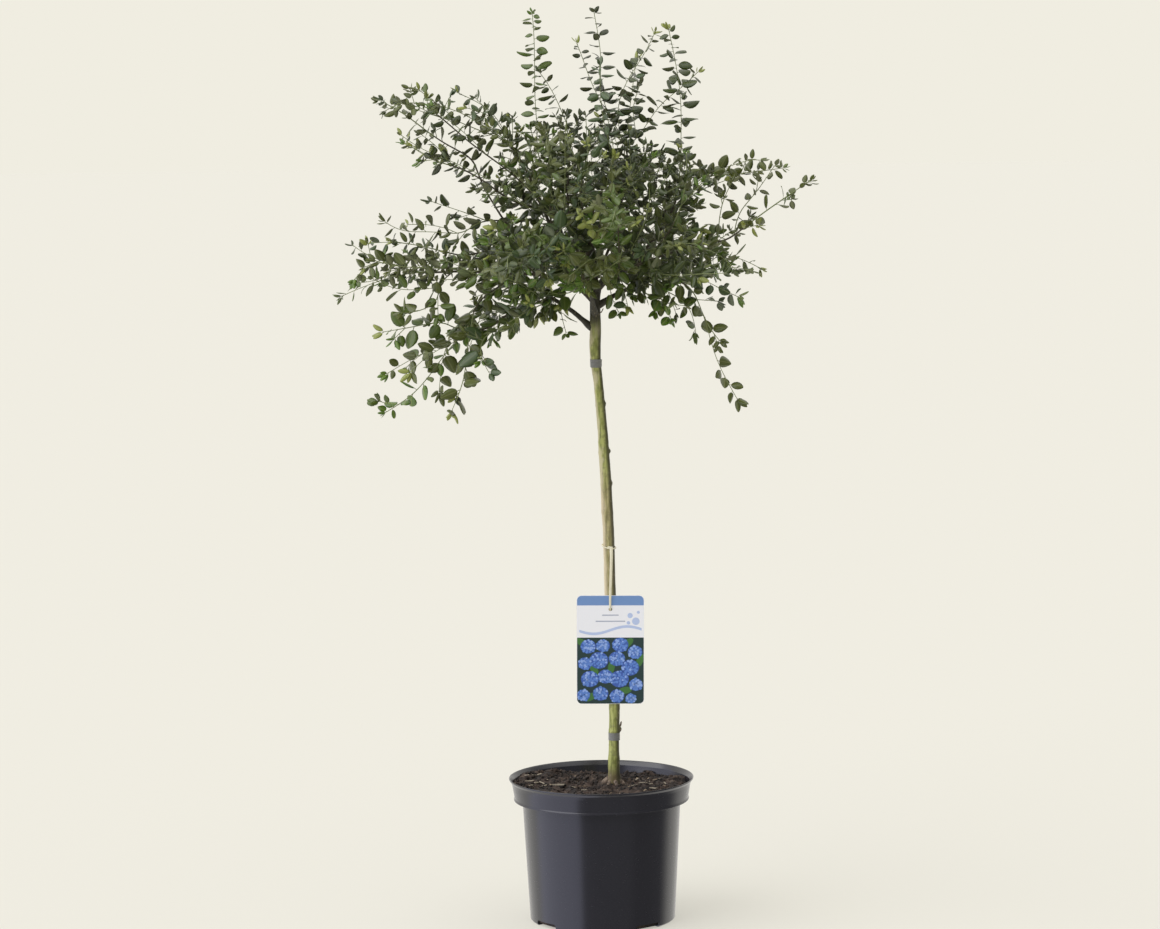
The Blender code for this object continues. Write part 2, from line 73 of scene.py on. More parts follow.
# Vector noise takes its seed from the clock unless it is given one, and every run has to come out the same
NOISE_SEED = 4
noise.seed_set(NOISE_SEED)

# %% [markdown]
# ## Making and fastening a piece
#
# Every piece below is a mesh whose points are already where they belong, so its object stays at the origin.
# `mesh_object` makes one and turns its faces outwards. `fasten` puts its materials on the piece, ties it to
# the plant and hides the solids of the frame that it stands for.

# %% Pieces


def add_object(name, data):
    made = bpy.data.objects.new(name, data)
    bpy.context.scene.collection.objects.link(made)
    return made


def face_outwards(mesh):
    """Turns the faces of a closed mesh so that all of them look away from its inside."""
    bm = bmesh.new()
    bm.from_mesh(mesh)
    bmesh.ops.recalc_face_normals(bm, faces=bm.faces)
    if bm.calc_volume(signed=True) < 0:
        bmesh.ops.reverse_faces(bm, faces=bm.faces)
    bm.to_mesh(mesh)
    bm.free()


def object_from(bm, name):
    """Ends a bmesh as the mesh of a new object."""
    mesh = bpy.data.meshes.new(name)
    bm.to_mesh(mesh)
    bm.free()
    return add_object(name, mesh)


def mesh_object(name, points, faces, smooth_under=50):
    """An object from points and faces. Edges sharper than an angle in degrees stay sharp."""
    mesh = bpy.data.meshes.new(name)
    mesh.from_pydata([tuple(point) for point in points], [], faces)
    face_outwards(mesh)
    mesh.shade_smooth()
    mesh.set_sharp_from_angle(angle=math.radians(smooth_under))
    return add_object(name, mesh)


def fasten(piece, slot, *stands_for, materials=()):
    """Puts the finish on a piece and ties it to the plant."""
    for material in materials:
        piece.data.materials.append(material)
    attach(piece, "root")
    if stands_for:
        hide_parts(*stands_for)
    print(f"{piece.name}: {len(piece.data.polygons)} faces")
    return piece


# %% [markdown]
# ## The camera
#
# A long lens from four metres away keeps the pot's rim a thin ellipse and the stem straight. The camera
# stands level with the upper half of the crown, looks down a few degrees, and is turned by under a degree.

# %% The camera
CAMERA_AWAY = 4.0
CAMERA_SIDE = -0.0213
CAMERA_HEIGHT = 0.937
AIM_HEIGHT = 0.5592
LENS_MM = 102.7
SENSOR_MM = 36
SEEN_FROM, SEEN_TO = 0.05, 500
CAMERA_ROLL = math.radians(0.7)

camera = add_object("camera", bpy.data.cameras.new("camera"))
camera.data.lens = LENS_MM
camera.data.sensor_width = SENSOR_MM
camera.data.clip_start, camera.data.clip_end = SEEN_FROM, SEEN_TO
camera_place = Vector((CAMERA_SIDE, -CAMERA_AWAY, CAMERA_HEIGHT))
looks = Vector((0, CAMERA_AWAY, AIM_HEIGHT - CAMERA_HEIGHT)).normalized()
level_side = Vector((1, 0, 0))
level_up = level_side.cross(looks)
side = level_side * math.cos(CAMERA_ROLL) - level_up * math.sin(CAMERA_ROLL)
up = level_up * math.cos(CAMERA_ROLL) + level_side * math.sin(CAMERA_ROLL)
camera.matrix_world = Matrix.Translation(camera_place) @ Matrix((side, up, -looks)).transposed().to_4x4()
bpy.context.scene.camera = camera
bpy.context.scene.view_settings.view_transform = "Standard"
print(f"camera: {CAMERA_AWAY} m away, {LENS_MM} mm lens")

# %% [markdown]
# ## Node trees as sums
#
# A material is a tree of small nodes. Written node by node it is long, so one class wraps an output: sums on
# it add Math nodes, and its `node` method adds any other kind. `finish` turns a recipe, a function that gives
# the shader's sockets, into a material.

# %% Node trees


class Socket:
    """One output in a node tree. Sums written with it add the nodes that work them out."""

    def __init__(self, tree, output=None):
        self.tree = tree
        self.output = output

    def node(self, kind, sockets=None, stops=None, **settings):
        """Adds a node: first its settings and its ramp's stops, then what goes into its sockets."""
        made = self.tree.nodes.new(kind)
        for name, value in settings.items():
            setattr(made, name, value)
        if stops:
            ramp = made.color_ramp.elements
            ramp.remove(ramp[1])
            ramp[0].position, ramp[0].color = stops[0][0], (*stops[0][1], 1)
            for place, colour in stops[1:]:
                ramp.new(place).color = (*colour, 1)
        for name, value in (sockets or {}).items():
            socket = made.inputs[name]
            if isinstance(value, Socket):
                self.tree.links.new(value.output, socket)
            elif socket.type == "RGBA":
                socket.default_value = (*value[:3], 1)
            else:
                socket.default_value = value
        return Socket(self.tree, made.outputs[0] if made.outputs else None)

    def pick(self, name):
        """Another output of the same node."""
        return Socket(self.tree, self.output.node.outputs[name])

    def sum(self, operation, first, second):
        return self.node("ShaderNodeMath", {0: first, 1: second}, operation=operation)

    def __add__(self, other):
        return self.sum("ADD", self, other)

    def __radd__(self, other):
        return self.sum("ADD", other, self)

    def __rsub__(self, other):
        return self.sum("SUBTRACT", other, self)

    def __mul__(self, other):
        return self.sum("MULTIPLY", self, other)

    def __gt__(self, other):
        return self.sum("GREATER_THAN", self, other)


def cleared(owner):
    """The empty node tree of a new material or world."""
    owner.use_nodes = True
    owner.node_tree.nodes.clear()
    return Socket(owner.node_tree)


def finish(name, recipe):
    """A material with one Principled shader. The recipe gives the values or links of its sockets."""
    made = bpy.data.materials.new(name)
    start = cleared(made)
    shader = start.node("ShaderNodeBsdfPrincipled", recipe(start) if callable(recipe) else recipe)
    start.node("ShaderNodeOutputMaterial", {"Surface": shader})
    return made


def mixed(share, first, second):
    """A colour between two colours."""
    return share.node("ShaderNodeMix", {0: share, 6: first, 7: second}, data_type="RGBA").pick(2)


def blended(start, share, first, second):
    """A shader between two shaders."""
    return start.node("ShaderNodeMixShader", {0: share, 1: first, 2: second})


def between(value, low, high):
    """0 below low, 1 above high, and a smooth rise from one to the other."""
    sockets = {"Value": value, "From Min": low, "From Max": high}
    return value.node("ShaderNodeMapRange", sockets, interpolation_type="SMOOTHSTEP")


def stretched(place, scale):
    """A place with each axis scaled, so that a pattern on it is drawn out."""
    return place.node("ShaderNodeMapping", {"Vector": place, "Scale": scale})


def cloudy(place, scale, detail=3.0):
    return place.node("ShaderNodeTexNoise", {"Vector": place, "Scale": scale, "Detail": detail})


def object_place(start):
    return start.node("ShaderNodeTexCoord").pick("Object")


def axis_of(place, axis):
    return place.node("ShaderNodeSeparateXYZ", {0: place}).pick(axis)


def raised(height, distance, strength=1.0):
    return height.node("ShaderNodeBump", {"Height": height, "Distance": distance, "Strength": strength})


# %% [markdown]
# ## The studio
#
# Behind the plant is plain cream card, and the floor is the same cream. The room itself is a dome of light
# whose brightness goes round in sectors: a long soft panel on the left, a dim front and right, and bright
# card behind. The panel's edge is what draws the upright line in the pot's gloss. One broad soft lamp from
# the upper left gives the leaves their light side.

# %% The studio
CARD = (0.871, 0.847, 0.753)
FLOOR = (0.688, 0.669, 0.594)
FLOOR_RADIUS = 200.0
DIM_FRONT = (0.27, 0.27, 0.30)
DIM_RIGHT = (0.20, 0.20, 0.22)
PANEL_NEAR = (1.00, 1.02, 1.28)
PANEL_FAR = (1.15, 1.17, 1.40)
CARD_GLOW = (0.95, 0.93, 0.88)
CEILING = (1.28, 1.28, 1.28)
# Bearing of each stop from the front, in degrees, with left as minus, and what shines there
SECTORS = (
    (-180, CARD_GLOW), (-118, CARD_GLOW), (-106, PANEL_FAR), (-35, PANEL_NEAR), (-30, DIM_FRONT),
    (42, DIM_FRONT), (54, DIM_RIGHT), (104, DIM_RIGHT), (124, CARD_GLOW), (180, CARD_GLOW),
)
# The walls give way to the ceiling between these heights of a unit way up
CEILING_FROM, CEILING_FULL = 0.45, 0.85
FLOOR_GLOW = 0.5
FLOOR_STEPS = 96
LAMP_STRENGTH = 1.15
LAMP_SPREAD = math.radians(60)
LAMP_FROM = Vector((-0.90, -0.45, 0.90))


def studio_world():
    """A dome of light. The camera itself sees plain card wherever it looks past the floor."""
    world = bpy.data.worlds.new("studio")
    start = cleared(world)
    way = start.node("ShaderNodeTexCoord").pick("Generated")
    forward = 0 - axis_of(way, "Y")
    bearing = way.sum("ARCTAN2", axis_of(way, "X"), forward) * (1 / math.tau) + 0.5
    stops = [(angle / 360 + 0.5, colour) for angle, colour in SECTORS]
    walls = start.node("ShaderNodeValToRGB", {"Fac": bearing}, stops=stops)
    dome = mixed(between(axis_of(way, "Z"), CEILING_FROM, CEILING_FULL), walls, CEILING)
    light = start.node("ShaderNodeBackground", {"Color": dome, "Strength": 1.0})
    card = start.node("ShaderNodeBackground", {"Color": CARD, "Strength": 1.0})
    seen = start.node("ShaderNodeLightPath").pick("Is Camera Ray")
    start.node("ShaderNodeOutputWorld", {"Surface": blended(start, seen, light, card)})
    return world


def floor_card():
    """Matt card, lit in part from below, so that shadows on it stay pale. Mirror rays pass through it, so
    that gloss shows the studio's walls and not the floor."""
    made = bpy.data.materials.new("floor_card")
    start = cleared(made)
    matt = start.node("ShaderNodeBsdfDiffuse", {"Color": FLOOR})
    lit = start.node("ShaderNodeEmission", {"Color": CARD, "Strength": 1.0})
    card = blended(start, FLOOR_GLOW, matt, lit)
    glossy = start.node("ShaderNodeLightPath").pick("Is Glossy Ray")
    shown = blended(start, glossy, card, start.node("ShaderNodeBsdfTransparent"))
    start.node("ShaderNodeOutputMaterial", {"Surface": shown})
    return made


def turns_of(steps):
    """The angles of a full turn in even steps."""
    return [math.tau * step / steps for step in range(steps)]


def round_floor():
    rim = [(FLOOR_RADIUS * math.cos(a), FLOOR_RADIUS * math.sin(a), 0.0) for a in turns_of(FLOOR_STEPS)]
    mesh = bpy.data.meshes.new("floor")
    mesh.from_pydata(rim, [], [list(range(FLOOR_STEPS))])
    floor = add_object("floor", mesh)
    mesh.materials.append(floor_card())


bpy.context.scene.world = studio_world()
round_floor()
lamp = add_object("lamp", bpy.data.lights.new("lamp", "SUN"))
lamp.data.energy = LAMP_STRENGTH
lamp.data.angle = LAMP_SPREAD
lamp.rotation_mode = "QUATERNION"
lamp.rotation_quaternion = LAMP_FROM.to_track_quat("Z", "Y")
print(f"studio: {len(SECTORS)} sectors of light and one lamp")

# %% [markdown]
# ## Turned shapes
#
# A pot is a shape that a lathe could cut: one outline, turned round an upright axis. `eased` rounds the
# outline's corners, because a moulded edge is never sharp, and `turned` sweeps it round.

# %% Turned shapes
ROUND_STEPS = 128
EASE_STEPS = 4
MOST_OF_SIDE = 0.45
SHARP_FROM = 35


def eased(outline, radius):
    """An outline with each inner corner replaced by a small curve, which never reaches half a side."""
    corners = [Vector(point) for point in outline]
    made = [corners[0]]
    for before, corner, after in zip(corners, corners[1:], corners[2:]):
        first, last = before - corner, after - corner
        start = corner + first.normalized() * min(radius, first.length * MOST_OF_SIDE)
        end = corner + last.normalized() * min(radius, last.length * MOST_OF_SIDE)
        for step in range(EASE_STEPS + 1):
            share = step / EASE_STEPS
            made.append(start.lerp(corner, share).lerp(corner.lerp(end, share), share))
    return made + [corners[-1]]


def turned(name, outline):
    """A closed shape turned from an outline of (radius, height) that starts and ends on the axis."""
    points, rings = [], []
    for radius, height in outline:
        count = 1 if radius < 1e-6 else ROUND_STEPS
        rings.append([len(points) + step % count for step in range(ROUND_STEPS)])
        for angle in turns_of(ROUND_STEPS)[:count]:
            points.append((radius * math.cos(angle), radius * math.sin(angle), height))
    faces = []
    for inner, outer in zip(rings, rings[1:]):
        for step in range(ROUND_STEPS):
            after = (step + 1) % ROUND_STEPS
            faces.append(list(dict.fromkeys((inner[step], inner[after], outer[after], outer[step]))))
    return mesh_object(name, points, faces, smooth_under=SHARP_FROM)


# %% [markdown]
# ## The pot
#
# A five-litre nursery pot is injection moulded in one pull: a rolled lip, a deep band that a hand can grip, a
# ledge that lets pots stack, and a body that tapers to a foot with four drain notches. Its plastic is made
# from scrap, so the charcoal is never quite even, and handling leaves fine scuffs.

# %% The pot
POT_HEIGHT = 0.175
RIM_RADIUS = 0.113
LIP_DEPTH = 0.0016
LIP_WIDTH = 0.0014
BAND_TOP_RADIUS = 0.1095
BAND_FOOT_RADIUS = 0.1065
BAND_DEPTH = 0.027
BAND_FLARE = 0.0008
BODY_TOP_RADIUS = 0.0968
BASE_RADIUS = 0.0889
POT_WALL = 0.002
POT_FLOOR = 0.003
SHOULDER = POT_HEIGHT - BAND_DEPTH
CHAMFER = 0.0015
NOTCH_COUNT = 4
NOTCH_TURN = math.radians(-142)
NOTCH_WIDTH = 0.036
NOTCH_HEIGHT = 0.0065
NOTCH_DEPTH = 0.010
NOTCH_ARCH = 0.003
# The groove under the lip: how far below the lip it is narrowest, and how much the wall thins there
THROAT_DROP = 0.0040
THROAT_STEP = 0.0006
MOULD_EASE = 0.0007
PLASTIC_IOR = 1.62


def pot_plastic(start):
    place = object_place(start)
    batch = cloudy(place, 9)
    streaks = cloudy(stretched(place, (1, 1, 0.12)), 60)
    scuffs = between(cloudy(stretched(place, (1, 1, 3)), 210, 5), 0.64, 0.74)
    grain = cloudy(place, 1400, 2)
    colour = mixed(batch, (0.0115, 0.0110, 0.0150), (0.0160, 0.0155, 0.0200))
    colour = mixed(streaks * 0.30, colour, (0.022, 0.022, 0.028))
    colour = mixed(scuffs * 0.30, colour, (0.045, 0.045, 0.052))
    rough = 0.165 + batch * 0.04 + streaks * 0.03 + scuffs * 0.14
    bumps = raised(grain, 0.00005, 0.4)
    return {"Base Color": colour, "Roughness": rough, "IOR": PLASTIC_IOR, "Normal": bumps}


def pot_outline():
    """From the middle of the floor inside, over the lip, to the middle of the underside."""
    lip_foot = POT_HEIGHT - LIP_DEPTH
    lip_inside = RIM_RADIUS - LIP_WIDTH
    inside = [
        (0.0, POT_FLOOR),
        (BASE_RADIUS - POT_WALL, POT_FLOOR),
        (BODY_TOP_RADIUS - POT_WALL, SHOULDER + POT_WALL),
        (BAND_FOOT_RADIUS - POT_WALL, SHOULDER + POT_WALL),
        (BAND_TOP_RADIUS - POT_WALL + THROAT_STEP, lip_foot - THROAT_DROP),
        (lip_inside, POT_HEIGHT - 0.0006),
    ]
    outside = [
        (RIM_RADIUS, POT_HEIGHT),
        (RIM_RADIUS, lip_foot),
        (BAND_TOP_RADIUS + 0.0008, lip_foot - 0.0030),
        (BAND_TOP_RADIUS - 0.0004, lip_foot - 0.0070),
        (BAND_FOOT_RADIUS, SHOULDER + 0.0030),
        (BAND_FOOT_RADIUS + BAND_FLARE, SHOULDER + 0.0012),
        (BAND_FOOT_RADIUS + BAND_FLARE, SHOULDER),
        (BAND_FOOT_RADIUS - POT_WALL, SHOULDER),
        (BODY_TOP_RADIUS, SHOULDER - 0.0006),
        (BASE_RADIUS, CHAMFER),
        (BASE_RADIUS - CHAMFER, 0.0),
        (0.0, 0.0),
    ]
    return eased(inside + outside, MOULD_EASE)


def notch_cutter(index):
    """A box that stands across the foot of the wall, to cut one drain notch."""
    turn = NOTCH_TURN + index * math.tau / NOTCH_COUNT
    bm = bmesh.new()
    bmesh.ops.create_cube(bm, size=1.0)
    size = Matrix.Diagonal((2 * NOTCH_DEPTH, NOTCH_WIDTH, 2 * NOTCH_HEIGHT, 1))
    bmesh.ops.transform(bm, matrix=size, verts=bm.verts)
    arched = [edge for edge in bm.edges if all(vertex.co.z > 0 for vertex in edge.verts)
              and abs(sum(vertex.co.y for vertex in edge.verts)) > NOTCH_WIDTH / 2]
    bmesh.ops.bevel(bm, geom=arched, offset=NOTCH_ARCH, segments=4, affect="EDGES", profile=0.5)
    put = Matrix.Rotation(turn, 4, "Z") @ Matrix.Translation((BASE_RADIUS, 0, 0))
    bmesh.ops.transform(bm, matrix=put, verts=bm.verts)
    return object_from(bm, f"notch_{index}")


def as_mesh(obj):
    """Replaces what an object's modifiers hold by their result, as a plain mesh."""
    graph = bpy.context.evaluated_depsgraph_get()
    made = bpy.data.meshes.new_from_object(obj.evaluated_get(graph))
    obj.modifiers.clear()
    obj.data = made
    return obj


def cut_away(obj, cutters):
    """Cuts every cutter out of an object, and deletes the cutters."""
    for cutter in cutters:
        cut = obj.modifiers.new(cutter.name, "BOOLEAN")
        cut.operation = "DIFFERENCE"
        cut.solver = "EXACT"
        cut.object = cutter
    as_mesh(obj)
    for cutter in cutters:
        bpy.data.objects.remove(cutter)


pot = turned("moulded_pot", pot_outline())
cut_away(pot, [notch_cutter(index) for index in range(NOTCH_COUNT)])
pot.data.set_sharp_from_angle(angle=math.radians(SHARP_FROM))
fasten(pot, "pot_plastic", "pot", materials=[finish("charcoal_plastic", pot_plastic)])

# %% [markdown]
# ## The compost
#
# Potting compost is bark, peat and wood fibre: a low uneven mound round the stem, with loose crumbs on it and
# a few pale slivers of wood. The mound is a turned shape whose top is pushed up and down by noise. Geometry
# Nodes then scatter the crumbs and slivers on it, because they repeat by the hundred and only need a seed.

# %% The compost
GAP = 0.0003
SOIL_LEVEL = 0.168
SOIL_EDGE = 0.1665
SOIL_LUMPS = 0.0055
LUMPS_PER_METRE = 28
SOIL_CLODS = 0.0046
CLODS_PER_METRE = 85
CLOD_MEAN = 0.45
# How far the compost is heaped up or washed down along the wall: by bearing, in degrees, and half width
SOIL_DRIFTS = ((150, 40, 0.0050), (80, 38, -0.0085), (-60, 60, 0.0010))
DRIFTS_FROM = 0.3
SOIL_RINGS = 64
STEM_SEAT = 0.024
STEM_FOOT = Vector((0.0145, 0.0, SOIL_LEVEL))
SOIL_RADIUS = BAND_FOOT_RADIUS - POT_WALL - GAP
# From the darkest, in the hollows of the bumps, to the palest, on their crests
COMPOST_COLOURS = (
    (0.30, (0.008, 0.006, 0.005)), (0.48, (0.030, 0.020, 0.014)),
    (0.62, (0.066, 0.043, 0.030)), (0.78, (0.140, 0.104, 0.072)),
)


def soil_height(x, y):
    """The compost's height: a low mound at the stem, lumpy, with drifts along the pot's wall."""
    reach = math.hypot(x, y) / SOIL_RADIUS
    from_stem = math.hypot(x - STEM_FOOT.x, y - STEM_FOOT.y)
    open_ground = min(max((from_stem - STEM_SEAT) / STEM_SEAT, 0.0), 1.0)
    mound = SOIL_LEVEL + (SOIL_EDGE - SOIL_LEVEL) * reach**2 * open_ground
    lumps = SOIL_LUMPS * open_ground * noise.noise(Vector((x, y, 0.0)) * LUMPS_PER_METRE)
    clods = SOIL_CLODS * (noise.turbulence(Vector((x, y, 0.3)) * CLODS_PER_METRE, 4, False) - CLOD_MEAN)
    drift = 0.0
    for bearing, width, depth in SOIL_DRIFTS:
        turn = math.remainder(math.atan2(y, x) - math.radians(bearing), math.tau) / math.radians(width)
        drift += depth * math.exp(-(turn**2)) * max(0.0, (reach - DRIFTS_FROM) / (1 - DRIFTS_FROM))
    return mound + lumps + drift + clods


def wall_inside(height):
    """Radius of the pot's inner face at a height on its band."""
    share = (height - SHOULDER - POT_WALL) / (POT_HEIGHT - LIP_DEPTH - THROAT_DROP - SHOULDER - POT_WALL)
    return BAND_FOOT_RADIUS - POT_WALL + (BAND_TOP_RADIUS + THROAT_STEP - BAND_FOOT_RADIUS) * min(share, 1.0)


def compost(start):
    place = object_place(start)
    lumps = cloudy(place, 70, 6)
    fibre = cloudy(stretched(place, (1, 0.35, 1)), 420, 4)
    colour = start.node("ShaderNodeValToRGB", {"Fac": lumps}, stops=COMPOST_COLOURS)
    colour = mixed(between(fibre, 0.60, 0.75) * 0.5, colour, (0.20, 0.14, 0.09))
    bumps = raised(lumps + fibre * 0.4, 0.0015)
    return {"Base Color": colour, "Roughness": 0.85 + fibre * 0.1, "Normal": bumps}


def soil_mesh():
    """What fills the pot: a turned shape that fits its inside, with an uneven top."""
    top = [(SOIL_RADIUS * ring / SOIL_RINGS, SOIL_LEVEL) for ring in range(SOIL_RINGS + 1)]
    side = POT_WALL + GAP
    below = [
        (SOIL_RADIUS, SHOULDER + POT_WALL + GAP),
        (BODY_TOP_RADIUS - side, SHOULDER + POT_WALL + GAP),
        (BASE_RADIUS - side, POT_FLOOR + GAP),
        (0.0, POT_FLOOR + GAP),
    ]
    made = turned("compost", top + below)
    for vertex in made.data.vertices:
        if vertex.co.z > (SHOULDER + SOIL_LEVEL) / 2:
            height = soil_height(vertex.co.x, vertex.co.y)
            spread = (wall_inside(height) - GAP) / SOIL_RADIUS
            vertex.co = (vertex.co.x * spread, vertex.co.y * spread, height)
    return made


soil = soil_mesh()
compost_finish = finish("compost", compost)
fasten(soil, "compost", "soil", materials=[compost_finish])

# %% [markdown]
# ### Crumbs and slivers
#
# `scattered` builds the node tree once for each kind: it picks points on the upward faces, puts a small
# shape on each with a random size and turn, and makes the copies real, because the exported model drops
# instances.

# %% Crumbs and slivers


def geometry_tree(name, inputs):
    """A Geometry Nodes tree with named inputs, and the output of each of them by name."""
    tree = bpy.data.node_groups.new(name, "GeometryNodeTree")
    tree.interface.new_socket("Geometry", in_out="INPUT", socket_type="NodeSocketGeometry")
    for label, kind in inputs.items():
        tree.interface.new_socket(label, in_out="INPUT", socket_type="NodeSocket" + kind)
    tree.interface.new_socket("Geometry", in_out="OUTPUT", socket_type="NodeSocketGeometry")
    start = Socket(tree).node("NodeGroupInput")
    return tree, start


def run_tree(obj, tree, values):
    """Sets a tree's inputs by their identifiers, runs it on the object, and keeps the plain mesh."""
    modifier = obj.modifiers.new(tree.name, "NODES")
    modifier.node_group = tree
    for item in tree.interface.items_tree:
        if item.in_out == "INPUT" and item.name in values:
            modifier[item.identifier] = values[item.name]
    return as_mesh(obj)


UPWARD_OVER = 0.6
SHAPE_NOISE = 1.7
SHAPE_UNEVEN = 0.45


def small_shape(name, kind, size, seed):
    """A rough lump of twenty faces, or a chip of wood with two more rings of points along it."""
    bm = bmesh.new()
    if kind == "lump":
        bmesh.ops.create_icosphere(bm, subdivisions=1, radius=1.0)
    else:
        bmesh.ops.create_cube(bm, size=2.0)
        long_edges = [edge for edge in bm.edges if abs(edge.verts[0].co.x - edge.verts[1].co.x) > 1]
        bmesh.ops.subdivide_edges(bm, edges=long_edges, cuts=2)
    for vertex in bm.verts:
        shift = noise.noise_vector(vertex.co * SHAPE_NOISE + Vector((seed, 0, 0))) * SHAPE_UNEVEN
        vertex.co = Vector(a * b for a, b in zip(vertex.co + shift, size))
    made = object_from(bm, name)
    face_outwards(made.data)
    made.hide_render = True
    return made


def end_tree(start, geometry):
    """Makes copies real, gives them the finish that the tree was asked for, and hands them out."""
    real = start.node("GeometryNodeRealizeInstances", {"Geometry": geometry})
    done = start.node("GeometryNodeSetMaterial", {"Geometry": real, "Material": start.pick("Finish")})
    start.node("NodeGroupOutput", {"Geometry": done})


def scatter_tree():
    """Puts a small shape on random points of the compost's top, each with its own size and turn."""
    kinds = {"Shape": "Object", "Per Area": "Float", "Smallest": "Float", "Largest": "Float", "Tilt": "Float",
             "Seed": "Int", "Finish": "Material"}
    tree, start = geometry_tree("scatter", kinds)
    upward = axis_of(start.node("GeometryNodeInputNormal"), "Z") > UPWARD_OVER
    high = axis_of(start.node("GeometryNodeInputPosition"), "Z") > SHOULDER + 2 * POT_WALL
    points = start.node("GeometryNodeDistributePointsOnFaces", {
        "Mesh": start, "Selection": upward * high, "Density": start.pick("Per Area"),
        "Seed": start.pick("Seed")})
    shape = start.node("GeometryNodeObjectInfo", {"Object": start.pick("Shape")}).pick("Geometry")
    tilt = start.pick("Tilt")
    low = start.node("ShaderNodeCombineXYZ", {"X": 0 - tilt, "Y": 0 - tilt, "Z": 0.0})
    top = start.node("ShaderNodeCombineXYZ", {"X": tilt, "Y": tilt, "Z": math.tau})
    turn = start.node("FunctionNodeRandomValue", {0: low, 1: top, "Seed": 7}, data_type="FLOAT_VECTOR")
    sizes = {2: start.pick("Smallest"), 3: start.pick("Largest"), "Seed": 9}
    size = start.node("FunctionNodeRandomValue", sizes, data_type="FLOAT").pick(1)
    placed = start.node("GeometryNodeInstanceOnPoints", {
        "Points": points, "Instance": shape, "Rotation": turn, "Scale": size})
    end_tree(start, placed)
    return tree


def wood_sliver(start):
    place = object_place(start)
    grain = cloudy(stretched(place, (1, 1, 4)), 300, 4)
    colour = mixed(cloudy(place, 40), (0.20, 0.13, 0.07), (0.58, 0.46, 0.30))
    return {"Base Color": mixed(grain * 0.5, colour, (0.16, 0.10, 0.06)), "Roughness": 0.8}


CRUMB_REACH = 0.968
Scatter = namedtuple("Scatter", "kind size per_area smallest largest tilt seed finish")
wood_finish = finish("wood_sliver", wood_sliver)
dark_finish = finish("dark_crumb", {"Base Color": (0.010, 0.007, 0.005), "Roughness": 0.9})
SCATTERS = {
    "crumbs": Scatter("lump", (1.0, 0.8, 0.7), 46000, 0.0006, 0.0024, 1.5, 3, compost_finish),
    "bark_crumbs": Scatter("lump", (1.0, 0.7, 0.5), 9000, 0.0016, 0.0048, 0.9, 5, compost_finish),
    "dark_crumbs": Scatter("lump", (1.0, 0.8, 0.8), 14000, 0.0010, 0.0030, 1.5, 8, dark_finish),
    "slivers": Scatter("chip", (1.0, 0.18, 0.08), 1100, 0.0016, 0.0062, 0.45, 11, wood_finish),
}
scatter = scatter_tree()
for name, kind in SCATTERS.items():
    shape = small_shape(name + "_shape", *kind[:2], kind.seed)
    loose = add_object(name, soil.data.copy())
    loose.data.materials.clear()
    loose.data.transform(Matrix.Diagonal((CRUMB_REACH, CRUMB_REACH, 1, 1)))
    run_tree(loose, scatter, {
        "Shape": shape, "Per Area": float(kind.per_area), "Smallest": kind.smallest, "Largest": kind.largest,
        "Tilt": kind.tilt, "Seed": kind.seed, "Finish": kind.finish})
    bpy.data.objects.remove(shape)
    fasten(loose, "compost")

# %% Long slivers
# Where each pale sliver of wood lies: across, back, length and bearing, in millimetres and degrees
SLIVERS = (
    (-76, 50, 10, 62), (-83, 34, 6, 10), (-70, -8, 8, 25), (-52, -21, 14, 4), (-34, -28, 6, -20),
    (57, 4, 8, 42), (63, -35, 9, -28), (72, 18, 6, 70), (21, -64, 6, 75), (-21, -61, 7, 10),
    (-60, 20, 7, 120), (38, -50, 5, 30), (-88, 8, 11, 15), (-79, 2, 12, 70), (-73, -4, 8, 130),
    (-86, -10, 7, 40), (-66, 6, 6, 95), (44, 6, 7, 60), (50, -4, 9, 20), (55, 10, 6, 100),
    (45, -12, 7, 150), (60, -14, 6, 5), (-92, 22, 6, 160), (78, -6, 7, 110),
)
SLIVER_ABOVE = 0.0022
SLIVER_TILT = 0.16


def long_slivers():
    """The largest slivers, each laid at its listed place on the compost."""
    shape = small_shape("sliver_shape", "chip", (0.5, 0.085, 0.045), 4)
    bm = bmesh.new()
    for index, (across, back, length, bearing) in enumerate(SLIVERS):
        x, y = across / 1000, back / 1000
        put = Matrix.Translation((x, y, soil_height(x, y) + SLIVER_ABOVE))
        put = put @ Matrix.Rotation(math.radians(bearing), 4, "Z")
        put = put @ Matrix.Rotation(SLIVER_TILT * math.sin(index * 2.1), 4, "Y")
        copy = shape.data.copy()
        copy.transform(put @ Matrix.Scale(length / 1000, 4))
        bm.from_mesh(copy)
    bpy.data.objects.remove(shape)
    pale_wood = finish("pale_wood", {"Base Color": (0.38, 0.325, 0.235), "Roughness": 0.7})
    fasten(object_from(bm, "long_slivers"), "compost", materials=[pale_wood])


long_slivers()

# %% [markdown]
# ## Measuring a limb
#
# The frame's stem and boughs are plain solids, but they fix the size and the path of the real ones.
# `measured` cuts a solid into slices across its length and keeps the middle and the radius of each.

# %% Measuring a limb
Limb = namedtuple("Limb", "path radii")


def sliced(triangles, point, way):
    """Middle and mean radius of the section that a plane makes with a solid."""
    depth = (triangles - point) @ way
    middles, lengths = [], []
    for corners, depths in zip(triangles, depth):
        ends = []
        for first, second in ((0, 1), (1, 2), (2, 0)):
            a, b = depths[first], depths[second]
            if (a < 0) != (b < 0):
                ends.append(corners[first] + (corners[second] - corners[first]) * a / (a - b))
        if len(ends) == 2:
            middles.append((ends[0] + ends[1]) / 2)
            lengths.append(np.linalg.norm(ends[1] - ends[0]))
    if not middles:
        return None
    middle = np.average(middles, axis=0, weights=lengths)
    radius = np.average(np.linalg.norm(np.array(middles) - middle, axis=1), weights=lengths)
    return middle, radius


